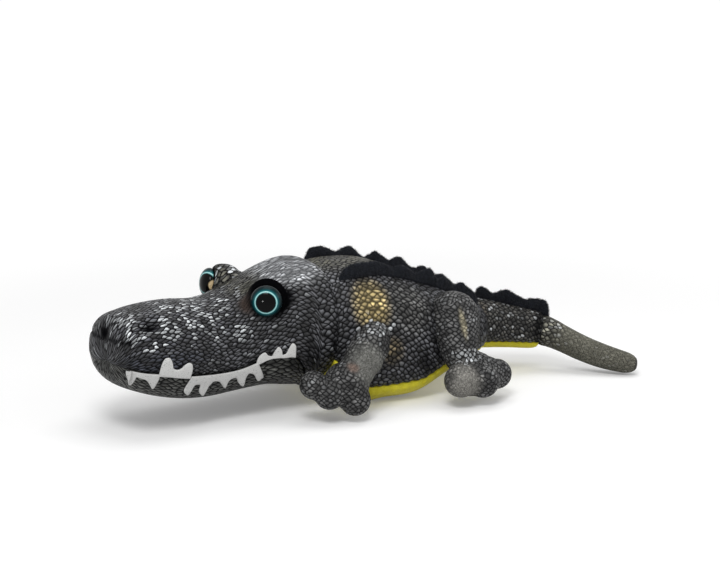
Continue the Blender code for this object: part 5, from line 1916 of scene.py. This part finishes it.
FRONT_BALLS = (
    ((-0.0140, -0.0400, 0.0440), 0.0124),
    ((-0.0178, -0.0458, 0.0405), 0.0123),
    ((-0.0242, -0.0505, 0.0350), 0.0120),
    ((-0.0304, -0.0530, 0.0290), 0.0112),
    ((-0.0380, -0.0540, 0.0215), 0.0140),
    ((-0.0592, -0.0530, 0.0236), 0.0088),
    ((-0.0510, -0.0575, 0.0180), 0.0094),
    ((-0.0355, -0.0605, 0.0131), 0.0096),
)
HIND_BALLS = (
    ((0.0450, -0.0375, 0.0490), 0.0172),
    ((0.0440, -0.0425, 0.0430), 0.0155),
    ((0.0425, -0.0490, 0.0355), 0.0125),
    ((0.0412, -0.0542, 0.0290), 0.0104),
    ((0.0472, -0.0577, 0.0182), 0.0125),
    ((0.0430, -0.0625, 0.0168), 0.0112),
    ((0.0510, -0.0575, 0.0205), 0.0108),
    ((0.0570, -0.0590, 0.0168), 0.0112),
    ((0.0655, -0.0575, 0.0155), 0.0095),
    ((0.0500, -0.0665, 0.0150), 0.0103),
    ((0.0350, -0.0655, 0.0170), 0.0105),
)
FRONT_PATCHES = (
    Patch((-0.0262, -0.0590, 0.0320), (0.0135, 0.014, 0.0155), colour=GREY_PRINT, fine=0.9,
          glint=0.0),
    # Painted highlights on the foil cells along the top of the leg.
    Patch((-0.0160, -0.0520, 0.0520), (0.016, 0.012, 0.008), glint=0.65),
    Patch((-0.0370, -0.0600, 0.0330), (0.004, 0.006, 0.003), colour=(0.21, 0.155, 0.130), fine=0.9,
          glint=0.0),
)
HIND_PATCHES = (
    Patch((0.0345, -0.0700, 0.0160), (0.011, 0.014, 0.014), colour=PALE_PRINT, fine=0.95,
          glint=0.0),
    Patch((0.0420, -0.0540, 0.0490), (0.0022, 0.012, 0.0105), colour=(0.400, 0.360, 0.250),
          strength=0.85, fine=0.6),
    # Painted highlights on the foil cells at the ankle.
    Patch((0.0410, -0.0620, 0.0310), (0.010, 0.010, 0.006), glint=0.95),
)


# Tail


def base_line(share: np.ndarray) -> np.ndarray:
    """The tail base's middle line, which curves to the left.

    Args:
        share: Places as shares from the root to the crease, (n,).

    Returns:
        Points, (n, 3).
    """
    share = np.asarray(share, float)[..., None]
    point = TAIL_ROOT + (CREASE - TAIL_ROOT) * share
    return point * (1.0, 0.0, 1.0) + CREASE * (0.0, 1.0, 0.0) * share**2


def round_loft(line: np.ndarray, radii: np.ndarray) -> Loft:
    """A round form along a line of points.

    Args:
        line: Points, (n, 3).
        radii: Radius at each point, (n,).

    Returns:
        The form.
    """
    along = unit(np.gradient(line, axis=0))
    sides = unit(np.cross((0.0, 0.0, 1.0), along))
    ups = np.cross(along, sides)
    return Loft(line, sides, ups, np.repeat(np.asarray(radii)[:, None], 3, axis=1), (2.0, 2.0))


def tail_seam(centre: np.ndarray) -> np.ndarray:
    """Height of the seam of the tail's underside at points of its middle line.

    Args:
        centre: Points, (n, 3).

    Returns:
        Heights, (n,).
    """
    share = np.clip((centre[:, 0] - TAIL_ROOT[0]) / (CREASE[0] - TAIL_ROOT[0]), 0.0, 1.0)
    radius = TAIL_ROOT_RADIUS + (TAIL_END_RADIUS - TAIL_ROOT_RADIUS) * share
    line = base_line(share)
    return line[:, 2] - radius + 0.0050


def crease_shade(item: bpy.types.Object, way: float) -> np.ndarray:
    """Painted shade: how dark the cloth is where it runs into the tail's crease.

    Args:
        item: The cover.
        way: 1 on the tip's side of the crease, -1 on the base's.

    Returns:
        One number for each vertex.
    """
    along = unit((TAIL_END - CREASE) * (1.0, 1.0, 0.0))
    ahead = (vertex_points(item) - CREASE) @ along * way
    return 0.65 * rise_between(-ahead, -0.0040, -0.0008)


@dataclass
class Tail:
    """Tail base with its underside panel and crest, and the tip beyond the crease.

    Attributes:
        cloth: Material of each finish.
        shares: Places of the base's sections, as shares from its root to the crease.
        radii: Their radii.
        seam_gap: How far each skin's edge stays off the underside seam.
        lip: Depth and width of the roll along that seam.
        crest_start: Where the crest starts, as a share of the base.
        crest_overhang: How far the crest's end reaches past the base, and how far it drops.
        stations: Places of the tip's sections, as shares from the crease to its end.
        droop: Share of its fall that the tip has made there.
        tip_radii: Radii there, as shares of the tip's own.
        floor_clearance: Lowest height of the tip's skin.
        blend_from: Where the base's covers start to follow the tail, on the torso; not used.
        blend_to: Where they follow the tail alone; not used.
        crease_reach: Reach of the bend before and past the crease; not used.
    """

    cloth: dict
    shares: tuple = (-0.34, -0.32, -0.22, 0.0, 0.22, 0.42, 0.62, 0.80, 0.90, 0.96, 0.99, 1.0)
    radii: tuple = (0.0, 0.008, 0.0150, 0.0166, 0.0158, 0.0149, 0.0140, 0.0132, 0.0125, 0.0113,
                    0.0092, 0.0)
    seam_gap: float = 0.0003
    lip: tuple = (0.0010, 0.0035)
    crest_start: float = 0.03
    crest_overhang: tuple = (0.005, 0.0026)
    stations: tuple = (-0.10, -0.08, 0.01, 0.09, 0.20, 0.41, 0.63, 0.77, 0.87, 0.92, 0.95, 0.96)
    droop: tuple = (0.0, 0.0, 0.0, 0.09, 0.26, 0.60, 0.87, 0.99, 1.06, 1.08, 1.09, 1.09)
    tip_radii: tuple = (0.0, 0.70, 1.13, 1.09, 1.01, 0.96, 0.91, 0.84, 0.75, 0.60, 0.38, 0.0)
    floor_clearance: float = 0.0004
    blend_from: tuple = (0.080, 0.0, 0.034)
    blend_to: tuple = (0.094, 0.0, 0.034)
    crease_reach: tuple = (0.003, 0.006)

    def make(self) -> None:
        """Build the tail's pieces."""
        loft = round_loft(base_line(np.array(self.shares)), np.array(self.radii))
        form = SeamedSkin(loft, Half.UPPER, tail_seam, self.seam_gap, *self.lip)
        rings, cloth, _ = form.rows(STEP)
        cover = skin_object("tail_base_cover", rings, cloth)
        Print(TAIL_BASE_PRINT, 0.32, 0.05, TAIL_PATCHES).lay(cover, crease_shade(cover, -1.0))
        finish_piece(cover, self.cloth["tail"], ("tail_base",))
        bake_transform(cover)
        form = SeamedSkin(loft, Half.LOWER, tail_seam, self.seam_gap, *self.lip)
        rings, cloth, _ = form.rows(STEP)
        panel = skin_object("tail_panel_cover", rings, cloth)
        finish_piece(panel, self.cloth["belly"], ("tail_panel",))
        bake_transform(panel)
        share = np.linspace(self.crest_start, 1.0, 121)
        foot = base_line(share)
        foot[:, 2] += TAIL_ROOT_RADIUS + (TAIL_END_RADIUS - TAIL_ROOT_RADIUS) * share
        over = rise_between(share, 0.82, 1.0)
        foot[:, 0] += self.crest_overhang[0] * over
        foot[:, 2] -= self.crest_overhang[1] * over
        CrestStrip("crest_tail", foot, TAIL_SCALLOPS, 0.0).make(self.cloth["crest"], "tail_base")
        self.tip()

    def tip(self) -> None:
        """The tip: round sections that droop to the floor and end in a gathered knot."""
        line = CREASE + (TAIL_END - CREASE) * np.array(self.stations)[:, None]
        line[:, 2] = CREASE[2] + (TAIL_TIP_RADIUS - CREASE[2]) * np.array(self.droop)
        loft = round_loft(line, np.array(self.tip_radii) * TAIL_TIP_RADIUS)
        along = np.linspace(0.0, loft.length, int(loft.length / STEP))
        count = int(2.0 * pi * TAIL_TIP_RADIUS / STEP) + 8
        angles = np.linspace(0.0, 2.0 * pi, count + 1) - pi / 2.0
        rings = loft.points(along, np.broadcast_to(angles[:-1], (len(along), count)))
        rings[..., 2] = np.maximum(rings[..., 2], self.floor_clearance)
        cloth = np.stack(np.broadcast_arrays(along[:, None], angles[None, :] * TAIL_TIP_RADIUS),
                         axis=-1)
        tip = skin_object("tail_tip_cover", rings, cloth)
        Print(TAIL_PRINT, 0.3, 0.85, TIP_PATCHES).lay(tip, crease_shade(tip, 1.0))
        finish_piece(tip, self.cloth["tail"], ("tail_tip",))
        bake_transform(tip)


TAIL_PATCHES = (
    Patch((0.080, -0.012, 0.046), (0.008, 0.010, 0.006), colour=(0.052, 0.045, 0.034), glint=0.1),
)
TIP_PATCHES = (
    # Painted highlights on the foil cells by the crease.
    Patch((0.128, -0.018, 0.028), (0.012, 0.012, 0.012), fine=0.15, glint=0.6),
    Patch((0.1735, -0.0560, 0.0075), (0.0035, 0.0050, 0.0050), colour=(0.045, 0.043, 0.036),
          fine=0.5, glint=0.0),
)


# Studio


def looked_at(tree: bpy.types.NodeTree, rays: bpy.types.Node) -> Socket:
    """1 on rays from the camera and in reflections and refractions, 0 on the light that falls.

    Args:
        tree: Node tree to add to.
        rays: Its Light Path node.

    Returns:
        The output socket.
    """
    direct = tree.nodes.new("ShaderNodeMath")
    direct.operation = "MAXIMUM"
    tree.links.new(rays.outputs["Is Camera Ray"], direct.inputs[0])
    tree.links.new(rays.outputs["Is Transmission Ray"], direct.inputs[1])
    both = tree.nodes.new("ShaderNodeMath")
    both.operation = "MAXIMUM"
    tree.links.new(direct.outputs[0], both.inputs[0])
    tree.links.new(rays.outputs["Is Glossy Ray"], both.inputs[1])
    return both.outputs[0]


@dataclass(frozen=True)
class Studio:
    """Floor, world, lamps and camera.

    Attributes:
        world_level: Strength of the world's light on the toy.
        floor_reach: Half the floor's width.
        floor_tone: Darker and lighter tone of the floor's paper, as seen.
        floor_bounce: Tone of the floor for the light that it throws back.
        lamps: Name, place, size and power of each lamp.
        aim: Where the lamps point.
        target: Where the camera looks.
        view: Turn, lift and distance of the camera.
        lens: Focal length and sensor width, in millimetres.
    """

    world_level: float = 0.40
    floor_reach: float = 3.0
    floor_tone: tuple = (0.90, 0.92)
    floor_bounce: float = 0.62
    lamps: tuple = (
        ("key", (-0.55, -0.75, 1.15), 0.5, 8.8),
        ("top", (0.15, 0.10, 1.30), 0.9, 4.5),
        ("side", (0.95, -0.65, 0.60), 0.6, 2.5),
        ("catch", (-0.90, -0.855, 0.12), 0.08, 1.6),
    )
    aim: tuple = (-0.01, 0.0, 0.04)
    target: tuple = (0.0, 0.0, 0.0655)
    view: tuple = (radians(28), radians(13), 1.25)
    lens: tuple = (100.0, 36.0)

    def world(self) -> None:
        """An even world light, seen as plain white by the camera and in reflections."""
        world = bpy.data.worlds.new("studio")
        bpy.context.scene.world = world
        world.use_nodes = True
        tree = world.node_tree
        ground = tree.nodes["Background"]
        ground.inputs["Color"].default_value = (1.0, 1.0, 1.0, 1.0)
        rays = tree.nodes.new("ShaderNodeLightPath")
        level = tree.nodes.new("ShaderNodeMapRange")
        level.inputs["To Min"].default_value = self.world_level
        level.inputs["To Max"].default_value = 1.0
        tree.links.new(looked_at(tree, rays), level.inputs["Value"])
        tree.links.new(level.outputs[0], ground.inputs["Strength"])

    def floor(self) -> None:
        """A pale floor, shaped as a wide sheet that curves up far behind the toy."""
        reach = np.linspace(-self.floor_reach, self.floor_reach, 61)
        across, along = np.meshgrid(reach, reach, indexing="ij")
        height = 0.9 * rise_between(along, 1.6, 3.0)
        rows = np.stack((across, along, height - 0.0002), axis=-1)
        cloth = np.stack((across, along), axis=-1)
        floor = skin_object("studio_floor", rows, cloth, closed=False)
        web = Web("studio_paper")
        space = web.space()
        rays = web.add("ShaderNodeLightPath", {})
        seen = looked_at(web.tree, rays)
        away = web.add("ShaderNodeVectorMath", {0: space}, operation="LENGTH").outputs["Value"]
        far = web.times(web.span(away, 0.24, 0.52), seen)
        low, high = ((tone, tone, tone, 1.0) for tone in self.floor_tone)
        bounce = (self.floor_bounce, self.floor_bounce, self.floor_bounce, 1.0)
        pale = web.mix(web.noise(space, 3.0), low, high)
        tone = web.mix(seen, bounce, pale)
        tone = web.mix(far, tone, (0.0, 0.0, 0.0, 1.0))
        glow = web.plus(web.times(seen, 0.15), web.times(far, 0.87))
        web.set(Base_Color=tone, Roughness=0.9, Specular_IOR_Level=0.0,
                Emission_Color=(1.0, 1.0, 1.0, 1.0), Emission_Strength=glow)
        floor.data.materials.append(web.material)

    def lamp(self, name: str, place: tuple, size: float, power: float) -> None:
        """A square lamp that faces the toy.

        Args:
            name: Its name.
            place: Where it hangs.
            size: Length of its side.
            power: Its power in watts.
        """
        data = bpy.data.lights.new(name, "AREA")
        data.size = size
        data.energy = power
        item = bpy.data.objects.new(name, data)
        bpy.context.scene.collection.objects.link(item)
        item.location = place
        aim = Vector(self.aim) - Vector(place)
        item.rotation_euler = aim.to_track_quat("-Z", "Y").to_euler()

    def camera(self) -> None:
        """The photograph's view: 28 degrees round to the toy's head, 13 degrees above level."""
        turn, lift, away = self.view
        data = bpy.data.cameras.new("camera")
        data.lens, data.sensor_width = self.lens
        item = bpy.data.objects.new("camera", data)
        bpy.context.scene.collection.objects.link(item)
        back = Vector((-sin(turn) * cos(lift), -cos(turn) * cos(lift), sin(lift)))
        item.location = Vector(self.target) + back * away
        item.rotation_euler = (-back).to_track_quat("-Z", "Y").to_euler()
        bpy.context.scene.camera = item

    def make(self) -> None:
        """Build the studio."""
        self.world()
        self.floor()
        for name, place, size, power in self.lamps:
            self.lamp(name, place, size, power)
        self.camera()
        bpy.context.scene.view_settings.view_transform = "Standard"


def hidden_parts(material: bpy.types.Material) -> None:
    """Give the lock washers inside the head their moulded finish.

    Args:
        material: The finish.
    """
    for word in ("left", "right"):
        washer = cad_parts["eye_washer_" + word]
        washer.data.materials.clear()
        washer.data.materials.append(material)


def main() -> None:
    """Dress the toy."""
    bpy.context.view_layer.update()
    Studio().make()
    cloth = {
        "head": ScaleCloth("head_scales", 0.0034, stretch=1.20).build(),
        "jaw": ScaleCloth("jaw_scales", 0.0036, stretch=1.42, puff=0.00030).build(),
        "torso": ScaleCloth("torso_scales", 0.0031, stretch=1.12).build(),
        "tail": ScaleCloth("tail_scales", 0.0027, stretch=1.1).build(),
        "leg": ScaleCloth("leg_scales", 0.0024, stretch=1.1, painted_light_tilt=0.0).build(),
        "belly": PlushPile("belly_pile", (0.74, 0.64, 0.030), (0.92, 0.83, 0.060)).build(),
        "crest": PlushPile("crest_pile", (0.003, 0.004, 0.006), (0.012, 0.014, 0.020),
                           sheen=0.12).build(),
        "felt": Felt("tooth_felt").build(),
        "eye_left": EyeGloss("eye_gloss").build(),
        "eye_right": EyeGloss("eye_gloss_lit", gleam=(0.0062, -0.0012)).build(),
        "washer": Moulded("washer_plastic", (0.75, 0.75, 0.74), 0.4).build(),
    }
    Head(cloth).make()
    Torso(cloth).make()
    for side in Side:
        Leg("front", side, FRONT_BALLS, (-0.0304, -0.0530, 0.0290), FRONT_PATCHES).make(cloth)
        Leg("hind", side, HIND_BALLS, (0.0412, -0.0542, 0.0290), HIND_PATCHES).make(cloth)
    Tail(cloth).make()
    hidden_parts(cloth["washer"])


if __name__ == "__main__":
    main()
